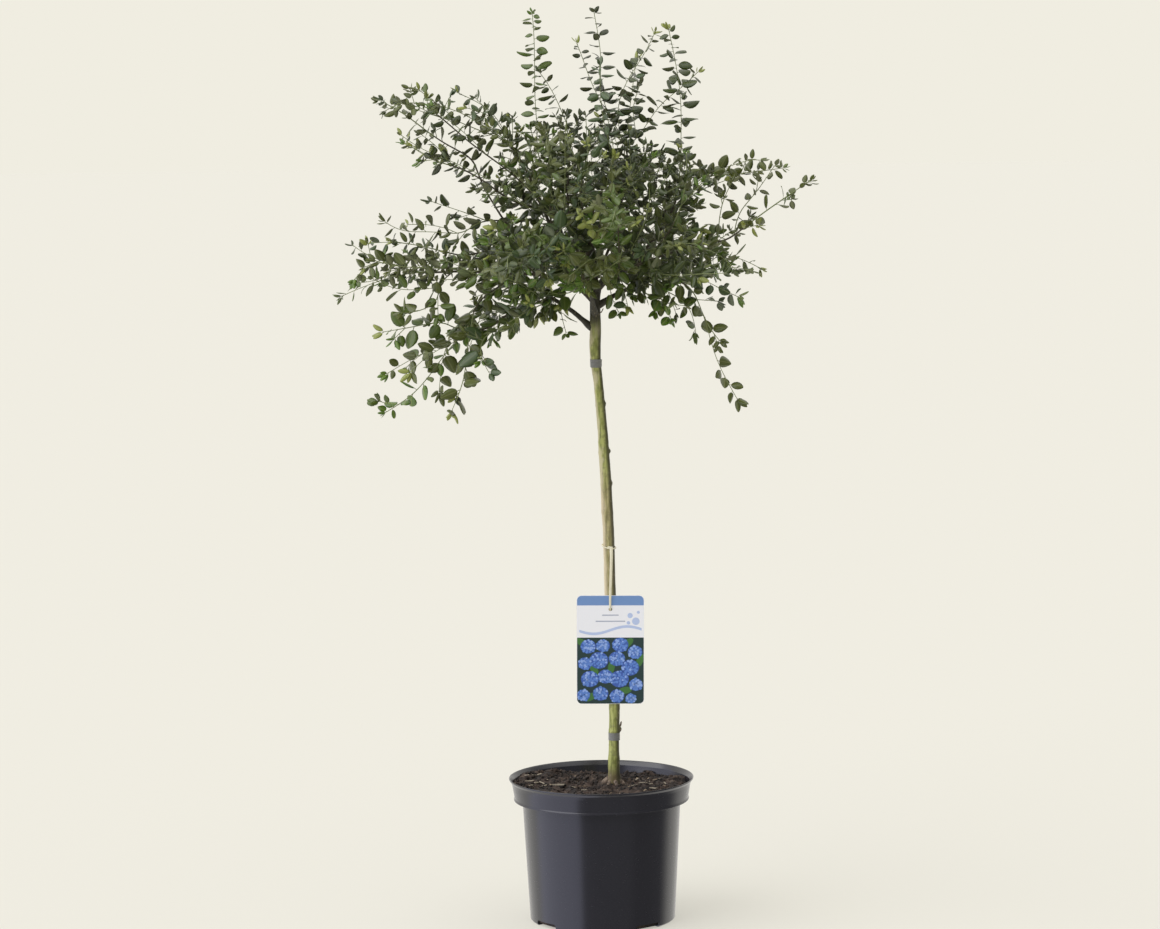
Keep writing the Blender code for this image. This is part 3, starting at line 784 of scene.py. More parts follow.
def measured(node, count, way=None):
    """The path and the radii of a limb in the frame, from count slices."""
    mesh = nodes[node].data
    points = np.array([vertex.co[:] for vertex in mesh.vertices])
    triangles = points[[list(face.vertices) for face in mesh.polygons]]
    if way is None:
        way = np.linalg.svd(points - points.mean(axis=0), full_matrices=False)[2][0]
        way = way if way[2] > 0 else -way
    depth = points @ way
    path, radii = [], []
    for share in np.linspace(0.03, 0.97, count):
        level = depth.min() + (depth.max() - depth.min()) * share
        found = sliced(triangles, way * level, way)
        if found:
            path.append(found[0])
            radii.append(found[1])
    return Limb(np.array(path), np.array(radii))


stem_limb = measured("trunk", 60, np.array((0.0, 0.0, 1.0)))
BOUGH_NAMES = sorted(name for name in nodes if name.startswith("bough_"))
bough_limbs = {name: measured(name, 9) for name in BOUGH_NAMES}
print(f"stem: {stem_limb.radii[3] * 2000:.1f} mm thick above the foot, {len(bough_limbs)} boughs")


# %% The stem's bends
# How the real stem bends and swells beside the plain one: height, shift to the right and added radius, in mm
STEM_BENDS = (
    (160, 0.9, -0.3), (197, 0.9, -0.3), (206, 1.0, -0.9), (225, 1.2, -0.9), (250, 2.1, -0.4), (262, 2.1, 0.0),
    (392, 0.4, 0.6), (422, 0.5, 0.6), (440, 0.8, 0.6), (480, 1.2, 0.8), (510, 1.0, 0.9), (540, 1.5, 0.6),
    (573, 1.3, 0.6), (600, 1.9, 0.3), (640, 1.1, 0.1), (660, 0.5, 0.2), (685, -1.4, 0.6), (704, -1.2, 0.8),
    (722, 0.0, 0.5), (750, 0.0, 0.0),
)


def stem_bend(height, column):
    """One column of the bends at a height, in metres."""
    rows = list(zip(*STEM_BENDS))
    return float(np.interp(height * 1000, rows[0], rows[column])) / 1000


def stem_middle(height):
    across, back = (np.interp(height, stem_limb.path[:, 2], stem_limb.path[:, axis]) for axis in (0, 1))
    return np.array((across + stem_bend(height, 1), back, height))


def stem_radius(height):
    return float(np.interp(height, stem_limb.path[:, 2], stem_limb.radii)) + stem_bend(height, 2)


# %% [markdown]
# ## Bark
#
# Young ceanothus bark is smooth and green, with a bloom of tan where it starts to cork, small pale
# lenticels, and old leaf scars. Above the fork it darkens to grey brown. On the stem its colour also holds
# painted light on the left side and painted shade on the right. `lofted` skins a path with rings whose
# radius changes with height and bearing, so buds, flutes and the flare at the soil are real relief.

# %% A lofted limb
GRAIN_SHIFT = 0.02


def smooth_path(points, steps):
    """Points along a Catmull-Rom curve that passes through every given point."""
    points = np.asarray(points, float)
    padded = np.vstack([2 * points[0] - points[1], points, 2 * points[-1] - points[-2]])
    made = []
    for a, b, c, d in zip(padded, padded[1:], padded[2:], padded[3:]):
        for share in np.arange(steps) / steps:
            made.append(0.5 * (2 * b + (c - a) * share + (2 * a - 5 * b + 4 * c - d) * share**2
                        + (3 * b - a - 3 * c + d) * share**3))
    return np.array(made + [points[-1]])


def unit(vector):
    return vector / max(float(np.linalg.norm(vector)), 1e-9)


def grain(middle, out, per_metre, depth):
    """A small random height at one place on a limb's bark."""
    return noise.noise(Vector(middle + out * GRAIN_SHIFT) * per_metre) * depth


def skin_between(rings, around):
    """The faces between rings of points that follow each other, with a face on both ends."""
    faces = []
    for ring in range(rings - 1):
        for step in range(around):
            first, after = ring * around, (step + 1) % around
            faces.append([first + step, first + after, first + around + after, first + around + step])
    last = (rings - 1) * around
    return faces + [list(range(around)), list(range(last, last + around))]


def lofted(name, path, radii, around, relief):
    """A closed limb along a path. relief(point, way out) gives how far the bark stands out there."""
    ways = np.gradient(path, axis=0)
    across = unit(np.cross(ways[0], (0.0, 1.0, 0.0)))
    points = []
    for middle, way, radius in zip(path, ways, radii):
        way = unit(way)
        across = unit(across - way * (across @ way))
        other = np.cross(way, across)
        for angle in turns_of(around):
            out = across * math.cos(angle) + other * math.sin(angle)
            points.append(middle + out * (radius + relief(middle, out)))
    return mesh_object(name, points, skin_between(len(path), around), smooth_under=60)


# %% The stem
STEM_TOP = 0.850
STEM_BURIED = 0.160
STEM_RING_STEP = 0.0022
STEM_AROUND = 40
STEM_DOME = 0.006
# Buds, twig scars and knots: height, bearing in degrees from +X, how far each stands out, and its size
KNOTS = (
    (0.649, 232, 0.0012, 0.0022), (0.633, 350, 0.0014, 0.0024), (0.588, 236, 0.0011, 0.0024),
    (0.575, 2, 0.0022, 0.0024), (0.536, 4, 0.0013, 0.0026), (0.502, 205, 0.0008, 0.0030),
    (0.470, 262, 0.0008, 0.0026), (0.306, 150, 0.0010, 0.0026), (0.262, 80, 0.0010, 0.0026),
    (0.234, 10, 0.0030, 0.0032), (0.200, 300, 0.0010, 0.0030),
)
# Under each bud a faint ring is left by the old leaf, so high beside the bud
SCAR_SHARE = 0.22
# The way that the stem's painted shade faces: right and a little to the front. Painted light faces away from
# it.
SHADED_WAY = np.array((0.94, -0.34, 0.0))
# Heights where the smooth green bark begins to turn into old dark bark, and how far it takes to turn
OLD_ON_STEM = 0.734
OLD_ON_BOUGHS = 0.715
OLD_OVER = 0.034
FLARE_LOBES = 3
FLARE_TURN = 0.8
FLARE_TOP = 0.186
FLARE_DEPTH = 0.0013
FLARE_SPREAD = 0.0018


def bearing_way(degrees):
    return np.array((math.cos(math.radians(degrees)), math.sin(math.radians(degrees)), 0.0))


def stem_relief(middle, out):
    """The stem's relief: grain, buds with the scars under them, and the flare at the soil."""
    height = middle[2]
    stands = grain(middle, out, 95, 0.00016) + grain(middle * (1, 1, 0.35), out, 38, 0.0003)
    for level, bearing, bud, size in KNOTS:
        rise = (height - level) / size
        if abs(rise) < 3:
            turn = math.acos(max(-1.0, min(1.0, float(out @ bearing_way(bearing))))) * stem_radius(height)
            stands += bud * math.exp(-(rise**2) - (turn / size) ** 2)
            stands += SCAR_SHARE * bud * math.exp(-((rise / 0.7 + 1.2) ** 2))
    flare = max(0.0, min(1.0, (FLARE_TOP - height) / (FLARE_TOP - SOIL_LEVEL)))
    lobes = math.cos(FLARE_LOBES * math.atan2(out[1], out[0]) + FLARE_TURN)
    return stands + FLARE_DEPTH * flare**1.5 * lobes + FLARE_SPREAD * flare**2.4


def stem_bark(start, old_from=OLD_ON_STEM):
    """Green bark, paler on its lit side as painted light and darker on its shaded side as painted shade,
    tan where it corks, with dark old bark above a height.
    """
    place = object_place(start)
    height = axis_of(place, "Z")
    drawn = stretched(place, (1, 1, 0.10))
    streaks = cloudy(drawn, 420, 4)
    bands = cloudy(stretched(place, (0.4, 0.4, 1)), 28, 4)
    mottle = cloudy(place, 160, 5)
    shaded = start.node("ShaderNodeAttribute", attribute_name="shaded").pick("Fac")
    # Painted light: how far the bark faces away from its shaded side
    lit = 1 - between(shaded, -0.95, 0.15)
    colour = mixed(between(streaks, 0.35, 0.62), (0.225, 0.250, 0.050), (0.46, 0.480, 0.150))
    colour = mixed(between(mottle, 0.50, 0.66) * 0.5, colour, (0.120, 0.125, 0.034))
    # Pale bloom in patches, made stronger on the lit side as painted light
    bloom_and_painted_light = cloudy(stretched(place, (1, 1, 0.4)), 110, 5) + lit * 0.30
    pale = between(bloom_and_painted_light, 0.52, 0.72) * between(height, 0.28, 0.38)
    colour = mixed(pale * 0.75, colour, (0.62, 0.55, 0.350))
    corky = between(height + bands * 0.07, 0.330, 0.415) * (1 - between(height + bands * 0.06, 0.545, 0.590))
    tan = mixed(between(streaks, 0.3, 0.65), (0.235, 0.180, 0.090), (0.47, 0.380, 0.215))
    # The corky tan is stronger and paler on the lit side: painted light
    colour = mixed(corky * (0.62 + lit * 0.3), colour, mixed(lit, tan, (0.66, 0.56, 0.375)))
    foot = 1 - between(height + mottle * 0.016, 0.182, 0.200)
    colour = mixed(foot * 0.85, colour, mixed(mottle, (0.095, 0.060, 0.032), (0.220, 0.150, 0.090)))
    old = between(height + bands * 0.03 + streaks * 0.02, old_from, old_from + OLD_OVER)
    bark = mixed(mottle, (0.026, 0.024, 0.015), (0.085, 0.077, 0.048))
    colour = mixed(old, colour, bark)
    # Painted shade: the green bark darkens on its shaded side
    shade = between(shaded + streaks * 0.25, 0.62, 1.08) * (1 - old)
    colour = mixed(shade * 0.84, colour, (0.040, 0.036, 0.014))
    dots = start.node("ShaderNodeTexVoronoi", {"Vector": stretched(place, (1, 1, 0.55)), "Scale": 190})
    pores = 1 - between(dots, 0.10, 0.22)
    colour = mixed(pores * 0.5, colour, (0.30, 0.255, 0.150))
    rough = 0.46 + streaks * 0.14 + old * 0.14
    bumps = raised(streaks * 0.5 + mottle + pores * 0.8, 0.00035, 0.7)
    return {"Base Color": colour, "Roughness": rough, "Normal": bumps}


def rounded_end(radii, path, length):
    """Draws the last rings of a limb in, so that it ends in a dome."""
    reach = np.linalg.norm(path - path[-1], axis=1)
    share = np.clip(1 - reach / length, 0, 1)
    return radii * np.sqrt(1 - 0.985 * share**2)


def shade_share(limb):
    """Stores how far each point of the stem's bark faces its shaded side, where painted shade darkens it;
    away from that side painted light makes it paler.
    """
    values = []
    for vertex in limb.data.vertices:
        out = np.array(vertex.co) - stem_middle(vertex.co.z)
        values.append(float(out @ SHADED_WAY) / max(float(np.linalg.norm(out)), 1e-6))
    limb.data.attributes.new("shaded", "FLOAT", "POINT").data.foreach_set("value", values)


stem_heights = np.arange(STEM_BURIED, STEM_TOP, STEM_RING_STEP)
stem_path = np.array([stem_middle(height) for height in stem_heights])
stem_radii = np.array([stem_radius(height) for height in stem_heights])
stem_radii = rounded_end(stem_radii, stem_path, STEM_DOME)
stem = lofted("stem", stem_path, stem_radii, STEM_AROUND, stem_relief)
shade_share(stem)
fasten(stem, "stem_bark", "trunk", materials=[finish("green_bark", stem_bark)])

# %% Roots at the foot
# Each root's bearing in degrees, its reach, its radius and how high it leaves the stem, in millimetres
ROOTS = ((196, 15, 4.2, 5), (236, 12, 3.2, 3), (292, 13, 3.0, 3), (345, 14, 3.6, 4), (80, 14, 3.6, 4))
ROOT_START = 0.003
ROOT_DIP = 0.006


def root_bark(start):
    mottle = cloudy(object_place(start), 230, 5)
    colour = mixed(between(mottle, 0.35, 0.65), (0.060, 0.042, 0.028), (0.260, 0.195, 0.140))
    return {"Base Color": colour, "Roughness": 0.8, "Normal": raised(mottle, 0.0006, 0.8)}


def root_relief(middle, out):
    return grain(middle, out, 150, 0.0007)


root_finish = finish("root_bark", root_bark)
for number, (bearing, reach, radius, rise) in enumerate(ROOTS):
    way = bearing_way(bearing)
    shares = np.linspace(0, 1, 9)
    lifts = [(rise / 1000) * (1 - share) - ROOT_DIP * share**2 for share in shares]
    route = np.array([np.array(STEM_FOOT) + way * (ROOT_START + share * reach / 1000) + np.array((0, 0, lift))
                      for share, lift in zip(shares, lifts)])
    sizes = radius / 1000 * (1 - 0.45 * shares)
    root = lofted(f"root_{number}", route, rounded_end(sizes, route, 0.003), 14, root_relief)
    fasten(root, "stem_bark", materials=[root_finish])

# %% Broken twigs on the stem
# Each stub's height, bearing, reach, rise and radius, in millimetres and degrees
STUBS = (
    (231, 350, 8.5, 3.0, 1.5), (236, 20, 9.5, 6.5, 1.1),
    (227, 332, 7.0, -1.5, 1.4), (744, 350, 10.0, 5.0, 0.8),
)

for number, (height, bearing, reach, rise, radius) in enumerate(STUBS):
    way, foot = bearing_way(bearing), stem_middle(height / 1000)
    tip = foot + way * reach / 1000 + np.array((0, 0, rise / 1000))
    route = smooth_path([foot + way * 0.002, foot + way * reach * 0.00075, tip], 5)
    sizes = radius / 1000 * np.linspace(1.25, 0.75, len(route))
    stub = lofted(f"twig_stub_{number}", route, rounded_end(sizes, route, radius / 1500), 10, root_relief)
    fasten(stub, "stem_bark", materials=[root_finish])

# %% The boughs
BOUGH_AROUND = 24
# How far above its plain solid each bough's foot leaves the stem, easing to nothing at its tip
BOUGH_LIFT = {"bough_left": 0.0095, "bough_right": 0.010}
COMMON_LIFT = 0.015
BOUGH_THIN = 0.70
COLLAR = 0.0018
COLLAR_LENGTH = 0.010


def bough_mesh(name, limb):
    """A bough that springs from the middle of the stem, and thins from a thick foot to a slender limb."""
    points = limb.path.copy()
    points[:, 2] += BOUGH_LIFT.get(name, COMMON_LIFT) * np.linspace(1, 0, len(points))
    foot = stem_middle(points[0][2] - 0.002)
    points[0] = foot
    path = smooth_path(points, 6)
    share = np.linspace(0, 1, len(path))
    radii = BOUGH_THIN * np.interp(share, np.linspace(0, 1, len(points)), limb.radii)
    from_bark = np.maximum(0, np.linalg.norm(path - path[0], axis=1) - stem_radius(foot[2]))
    radii = radii + COLLAR * np.exp(-((from_bark / COLLAR_LENGTH) ** 2))
    radii = rounded_end(radii, path, 0.004)
    return lofted(name + "_limb", path, radii, BOUGH_AROUND, lambda *at: grain(*at, 120, 0.00035))


bough_finish = finish("dark_bark", lambda start: stem_bark(start, OLD_ON_BOUGHS))
for name, limb in bough_limbs.items():
    fasten(bough_mesh(name, limb), "bough_bark", name, materials=[bough_finish])

# %% [markdown]
# ## Tapes, tie and strap
#
# Growers bind the stem with soft grey tape, wound a little more than once so that it grips itself, and hang
# the label from a cream strap. The tape is a flat strip that follows a spiral. The strap is skinned as a
# limb is, with a relief that flattens it.

# %% Tapes
TAPE_WIDTH = 0.0092
TAPE_THICK = 0.0003
TAPE_TURNS = 1.4
TAPE_STEPS = 110
TAPE_BASE = 0.0003
TAPE_WRINKLE = 0.00022
TAPE_FRAY = 0.0004
# The second turn climbs on to the first between these laps
CLIMBS_FROM, CLIMBS_TO = 0.93, 1.0
CLIMB = TAPE_THICK * 1.3
# Tape by node: bearing of its inner end, in degrees, and how far it rises over the turns
TAPES = {"tape_upper": (205, 0.0012), "tape_lower": (330, -0.0010)}
TAPE_COLUMNS = (0.0, 0.25, 0.5, 0.75, 1.0)


def eased_share(value, low, high):
    """0 below low, 1 above high, and a smooth rise between."""
    share = min(max((value - low) / (high - low), 0.0), 1.0)
    return share * share * (3 - 2 * share)


def wound_tape(name, node, first_bearing, rise):
    """A closed strip wound round the stem, with wrinkles, whose outer end lies on its own first turn."""
    low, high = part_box(node)
    height = (low.z + high.z) / 2
    middle = stem_middle(height)
    points = []
    for step in range(TAPE_STEPS + 1):
        share = step / TAPE_STEPS
        angle = math.radians(first_bearing) + share * TAPE_TURNS * math.tau
        out = np.array((math.cos(angle), math.sin(angle), 0.0))
        lift = TAPE_BASE + CLIMB * eased_share(share * TAPE_TURNS, CLIMBS_FROM, CLIMBS_TO)
        for outer in (False, True):
            for column in TAPE_COLUMNS if outer else TAPE_COLUMNS[::-1]:
                level = height + (column - 0.5) * TAPE_WIDTH + rise * (share - 0.5)
                wrinkle = noise.noise(Vector((angle * 3.1, column * 2.3, height * 40))) * TAPE_WRINKLE
                edge = noise.noise(Vector((angle * 4.0, height * 90, column))) * TAPE_FRAY
                radius = stem_radius(level) + lift + wrinkle + (TAPE_THICK if outer else 0.0)
                points.append(middle * (1, 1, 0) + out * radius + np.array((0, 0, level + edge)))
    return mesh_object(name, points, skin_between(TAPE_STEPS + 1, 2 * len(TAPE_COLUMNS)))


def grey_tape(start):
    place = object_place(start)
    creases = cloudy(stretched(place, (1, 1, 6)), 260, 4)
    colour = mixed(creases, (0.13, 0.13, 0.12), (0.30, 0.30, 0.275))
    return {"Base Color": colour, "Roughness": 0.34 + creases * 0.2, "Normal": raised(creases, 0.0003, 0.6)}


tape_finish = finish("grey_tape", grey_tape)
for node, (first_bearing, rise) in TAPES.items():
    fasten(wound_tape(node + "_wound", node, first_bearing, rise), "tape", node, materials=[tape_finish])

# %% The tie and the strap
TIE_HEIGHT = 0.4582
TIE_RADIUS = 0.0009
TIE_STEPS = 72
TIE_OVERLAP = 1.06
TIE_DROP = 0.0010
TIE_SLANT = 0.0020
STRAP_THICK = 0.0005
STRAP_WIDE_TOP = 0.0020
STRAP_WIDE_FOOT = 0.0008
STRAP_BEND = 0.012
STRAP_SIDES = 12
KNOT_RADIUS = 0.0014
KNOT_FORM = (1.3, 0.9, 1)
KNOT_UNEVEN = 0.18
STRAP_ASIDE = 0.0026
HOLE_ASIDE = 0.0008
LABEL_RISE = 0.0022


def cream_strap(start):
    place = object_place(start)
    ribs = cloudy(stretched(place, (1, 1, 0.2)), 900, 2)
    soil_marks = between(cloudy(place, 130, 4), 0.55, 0.75)
    colour = mixed(ribs * 0.4, (0.84, 0.79, 0.58), (0.70, 0.66, 0.45))
    colour = mixed(soil_marks * 0.3, colour, (0.45, 0.40, 0.26))
    return {"Base Color": colour, "Roughness": 0.42 + ribs * 0.15, "Normal": raised(ribs, 0.0002, 0.4)}


def flattened(wide, thick, radius):
    """Relief that makes a round section oval, wide across the plant and thin from front to back."""
    return lambda middle, out: wide * thick / math.hypot(thick * out[0], wide * out[1] + 1e-9) - radius


def tie_ring():
    """The loop round the stem, which slants and laps its own start by a little."""
    middle = stem_middle(TIE_HEIGHT)
    radius = stem_radius(TIE_HEIGHT) + GAP + TIE_RADIUS
    angles = np.linspace(-math.pi / 2, -math.pi / 2 + math.tau * TIE_OVERLAP, TIE_STEPS)
    share = np.linspace(0, 1, TIE_STEPS)
    spiral = radius + TIE_RADIUS * 0.5 * share
    heights = TIE_HEIGHT + TIE_DROP * (0.6 - share) - TIE_SLANT * (np.cos(angles) - 0.6 * np.sin(angles))
    across, back = middle[0] + spiral * np.cos(angles), middle[1] + spiral * np.sin(angles)
    path = np.stack([across, back, heights], axis=1)
    section = np.full(TIE_STEPS, TIE_RADIUS * 0.86)
    return lofted("tie_loop", path, rounded_end(section, path, 0.001), STRAP_SIDES, lambda middle, out: 0.0)


def strap_mesh():
    """The free end of the tie: it drops in front of the stem and passes through the card's hole."""
    low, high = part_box("label_strap")
    card_low, card_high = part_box("label")
    ring = stem_middle(TIE_HEIGHT) + np.array((STRAP_ASIDE, 0, 0))
    hang = low.y + STRAP_THICK
    hole_x = (low.x + high.x) / 2 + HOLE_ASIDE
    front = ring[1] - stem_radius(TIE_HEIGHT) - 2.6 * TIE_RADIUS
    route = [
        (ring[0], front, TIE_HEIGHT + TIE_RADIUS),
        (ring[0], (front + hang) / 2, TIE_HEIGHT - STRAP_BEND * 0.35),
        (ring[0], hang, TIE_HEIGHT - STRAP_BEND),
        ((ring[0] + hole_x) / 2, hang, (TIE_HEIGHT + low.z) / 2),
        (hole_x, hang, low.z + LABEL_RISE + STRAP_BEND),
        (hole_x, card_low.y - 2 * STRAP_THICK, low.z + LABEL_RISE + 0.0022),
        (hole_x, (card_low.y + card_high.y) / 2, low.z + LABEL_RISE + STRAP_THICK * 1.2),
    ]
    path = smooth_path(route, 9)
    down = np.linspace(0, 1, len(path)) ** 1.6
    wide = STRAP_WIDE_TOP + (STRAP_WIDE_FOOT - STRAP_WIDE_TOP) * down
    widths = {round(float(point[2]), 7): width for point, width in zip(path, wide)}

    def relief(middle, out):
        return flattened(widths[round(float(middle[2]), 7)], STRAP_THICK, STRAP_THICK)(middle, out)

    return lofted("strap_end", path, np.full(len(path), STRAP_THICK), STRAP_SIDES, relief)


def knot_mesh():
    """The lump where the strap is pinched against its own loop."""
    bm = bmesh.new()
    bmesh.ops.create_icosphere(bm, subdivisions=3, radius=KNOT_RADIUS)
    ring = stem_middle(TIE_HEIGHT)
    front = ring[1] - stem_radius(TIE_HEIGHT) - GAP - TIE_RADIUS
    for vertex in bm.verts:
        swell = 1 + KNOT_UNEVEN * noise.noise(vertex.co * 900)
        lump = Vector(a * b * swell for a, b in zip(vertex.co, KNOT_FORM))
        vertex.co = Vector((ring[0], front, TIE_HEIGHT)) + lump
    knot = object_from(bm, "tie_knot")
    knot.data.shade_smooth()
    return knot


strap_finish = finish("cream_plastic", cream_strap)
fasten(tie_ring(), "cream_strap", "tie", materials=[strap_finish])
fasten(strap_mesh(), "cream_strap", "label_strap", materials=[strap_finish])
fasten(knot_mesh(), "cream_strap", materials=[strap_finish])

# %% [markdown]
# ## The label
#
# The label is a stiff pale card with round corners and a punched hole. Its print is a blue band and a
# picture of blue blossom. The picture here is a plain pattern made for this part: heads of small round
# florets and a few leaves. The heads are listed one by one, and a seeded rule fills each with florets. Each
# patch of ink is a plate up to a fifth of a millimetre thick, so its edge stays sharp and needs no image.

# %% The card
LABEL_CORNER = 0.0056
CORNER_POINTS = 7
LABEL_WIDTH = 0.082
LABEL_HEIGHT = 0.1334
LABEL_TILT = math.radians(0.6)
LABEL_HOLE_RADIUS = 0.0022
LABEL_HOLE_DROP = 0.0170
LABEL_THICK = 0.0008
HOLE_STEPS = 20
label_low, label_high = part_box("label")
label_middle = (label_low + label_high) / 2 + Vector((0, 0, LABEL_RISE))
upright = Matrix.Rotation(LABEL_TILT, 4, "Y") @ Matrix.Rotation(math.pi / 2, 4, "X")
card_place = Matrix.Translation(label_middle) @ upright


def round_corners(low, high, width, corner, top=True, bottom=True):
    """The outline of a panel of the card, with its top or bottom corners round."""
    outline = []
    rounds = ((1, 1, top), (-1, 1, top), (-1, -1, bottom), (1, -1, bottom))
    for quarter, (side_sign, up_sign, is_round) in enumerate(rounds):
        radius = corner if is_round else 0.0
        centre = (side_sign * (width / 2 - radius), (high if up_sign > 0 else low) - up_sign * radius)
        for step in range(CORNER_POINTS if is_round else 1):
            turn = (quarter + step / (CORNER_POINTS - 1)) * math.pi / 2
            outline.append((centre[0] + radius * math.cos(turn), centre[1] + radius * math.sin(turn)))
    return outline


def oval(x, y, wide, high, turn, sides):
    """The outline of an oval round a middle, turned by an angle."""
    return [(x + wide * math.cos(a) * math.cos(turn) - high * math.sin(a) * math.sin(turn),
             y + wide * math.cos(a) * math.sin(turn) + high * math.sin(a) * math.cos(turn))
            for a in turns_of(sides)]


def card_mesh():
    """The card as a filled curve, which is a plain way to make a plate with a hole."""
    data = bpy.data.curves.new("card", "CURVE")
    data.dimensions = "2D"
    data.fill_mode = "BOTH"
    data.extrude = LABEL_THICK / 2
    outline = round_corners(-LABEL_HEIGHT / 2, LABEL_HEIGHT / 2, LABEL_WIDTH, LABEL_CORNER)
    hole_up = LABEL_HEIGHT / 2 - LABEL_HOLE_DROP
    for ring in (outline, oval(0, hole_up, LABEL_HOLE_RADIUS, LABEL_HOLE_RADIUS, 0, HOLE_STEPS)):
        spline = data.splines.new("POLY")
        spline.points.add(len(ring) - 1)
        for knot, (x, y) in zip(spline.points, ring):
            knot.co = (x, y, 0.0, 1.0)
        spline.use_cyclic_u = True
    flat = add_object("card", data)
    mesh = bpy.data.meshes.new_from_object(flat.evaluated_get(bpy.context.evaluated_depsgraph_get()))
    bpy.data.objects.remove(flat)
    bm = bmesh.new()
    bm.from_mesh(mesh)
    bmesh.ops.remove_doubles(bm, verts=bm.verts, dist=0.00001)
    card = object_from(bm, "card")
    card.data.transform(card_place)
    face_outwards(card.data)
    return card


def card_stock(start):
    sheen = cloudy(object_place(start), 700, 2)
    colour = mixed(sheen, (0.93, 0.94, 0.975), (0.95, 0.955, 0.98))
    return {"Base Color": colour, "Roughness": 0.28 + sheen * 0.08}


fasten(card_mesh(), "label_card", "label", materials=[finish("card_stock", card_stock)])

# %% The print
INK = 0.00003
HEADER_LOW = 0.0545
PICTURE_HIGH = 0.0150
PRINT_INSET = 0.0004
INKS = {
    "header_blue": (0.185, 0.320, 0.600),
    "panel_wave": (0.520, 0.620, 0.860),
    "rule_grey": (0.330, 0.370, 0.480),
    "night_green": (0.028, 0.058, 0.052),
    "leaf_green": (0.070, 0.200, 0.050),
    "blossom_deep": (0.060, 0.130, 0.460),
    "blossom": (0.125, 0.260, 0.670),
    "blossom_light": (0.300, 0.450, 0.830),
}
INK_NAMES = list(INKS)
# Blossom heads: middle across and up the card, and radius, in millimetres
HEADS = (
    (-27, 4, 9.5), (-9, 5, 8.5), (12, 6, 10.0), (30, -3, 9.0), (-31, -17, 8.5), (-14, -13, 11.5),
    (8, -11, 10.0), (24, -22, 11.0), (-25, -36, 11.0), (-6, -33, 9.5), (11, -36, 11.5), (31, -43, 8.5),
    (-12, -54, 9.5), (8, -57, 9.0), (-33, -56, 8.0), (25, -60, 6.5),
)
HEAD_FLAT = 0.9
FLORETS = 34
FLORET_TURN = 2.39996
FLORET_REACH = 0.92
FLORET_SIZES = (1.15, 1.85)
LIGHT_CHANCE = 0.34
PRINT_SEED = 21
# Printed leaves: middle across and up the card, in millimetres, and bearing in degrees
PRINTED_LEAVES = (
    (21, 8, 40), (-20, -24, 120), (36, -13, 70), (18, -50, 10), (-35, 9, 150), (1, -22, 80), (-24, -58, 30),
)
PRINTED_LEAF_SIZE = (0.0085, 0.0042)
# Pale dots in the header, across, up and radius, and plain rules, foot and length, in millimetres
DOTS = ((24, 42, 3.2), (31, 35, 4.6), (22, 33, 2.2), (34, 46, 1.8))
RULES = ((42.0, 20), (34.5, 36))
RULE_HIGH = 0.0011
# The wave under the header: its level, its swing and its thickness
WAVE_LEVEL, WAVE_SWING, WAVE_THICK = 0.0225, 0.0045, 0.0032


def kept_on_card(outline):
    """Draws an outline's points back onto the picture panel, where they would pass its edge."""
    edge, foot = LABEL_WIDTH / 2 - PRINT_INSET, PRINT_INSET - LABEL_HEIGHT / 2
    made = []
    for x, y in outline:
        x, y = max(-edge, min(edge, x)), max(foot, min(PICTURE_HIGH, y))
        corner = Vector((abs(x) - (edge - LABEL_CORNER), foot + LABEL_CORNER - y))
        if corner.x > 0 and corner.y > 0 and corner.length > LABEL_CORNER:
            corner.length = LABEL_CORNER
            x = math.copysign(edge - LABEL_CORNER + corner.x, x)
            y = foot + LABEL_CORNER - corner.y
        made.append((x, y))
    return made


def printed_patches():
    """Every patch of ink as its outline on the card, its layer and its colour."""
    half, width = LABEL_HEIGHT / 2 - PRINT_INSET, LABEL_WIDTH - 2 * PRINT_INSET
    patches = [
        (round_corners(HEADER_LOW, half, width, LABEL_CORNER, bottom=False), 1, "header_blue"),
        (round_corners(-half, PICTURE_HIGH, width, LABEL_CORNER, top=False), 1, "night_green"),
    ]
    rise = [(x / 1000, WAVE_LEVEL + WAVE_SWING * math.sin(x / 13)) for x in range(-38, 39, 4)]
    band = [(x, y + WAVE_THICK) for x, y in rise] + rise[::-1]
    patches.append((band, 2, "panel_wave"))
    for x, y, radius in DOTS:
        patches.append((oval(x / 1000, y / 1000, radius / 1000, radius / 1000, 0, 20), 2, "panel_wave"))
    for low, length in RULES:
        rule = round_corners(low / 1000, low / 1000 + RULE_HIGH, length / 1000, 0, False, False)
        patches.append((rule, 3, "rule_grey"))
    for x, y, turn in PRINTED_LEAVES:
        leaf = oval(x / 1000, y / 1000, *PRINTED_LEAF_SIZE, math.radians(turn), 14)
        patches.append((kept_on_card(leaf), 2, "leaf_green"))
    rng = np.random.default_rng(PRINT_SEED)
    for x, y, radius in HEADS:
        dome = oval(x / 1000, y / 1000, radius / 1000, radius * HEAD_FLAT / 1000, 0, 16)
        patches.append((kept_on_card(dome), 3, "blossom_deep"))
        for index in range(FLORETS):
            reach = radius * FLORET_REACH * math.sqrt((index + 0.5) / FLORETS)
            turn = index * FLORET_TURN + rng.uniform(-0.3, 0.3)
            floret = (x + reach * math.cos(turn), y + reach * math.sin(turn) * FLORET_REACH)
            light = rng.random() < LIGHT_CHANCE + 0.03 * (floret[1] - y)
            ink = "blossom_light" if light else "blossom"
            size = rng.uniform(*FLORET_SIZES) / 1000
            disc = oval(floret[0] / 1000, floret[1] / 1000, size, size, turn, 7)
            patches.append((kept_on_card(disc), 4 + index % 3, ink))
    return patches


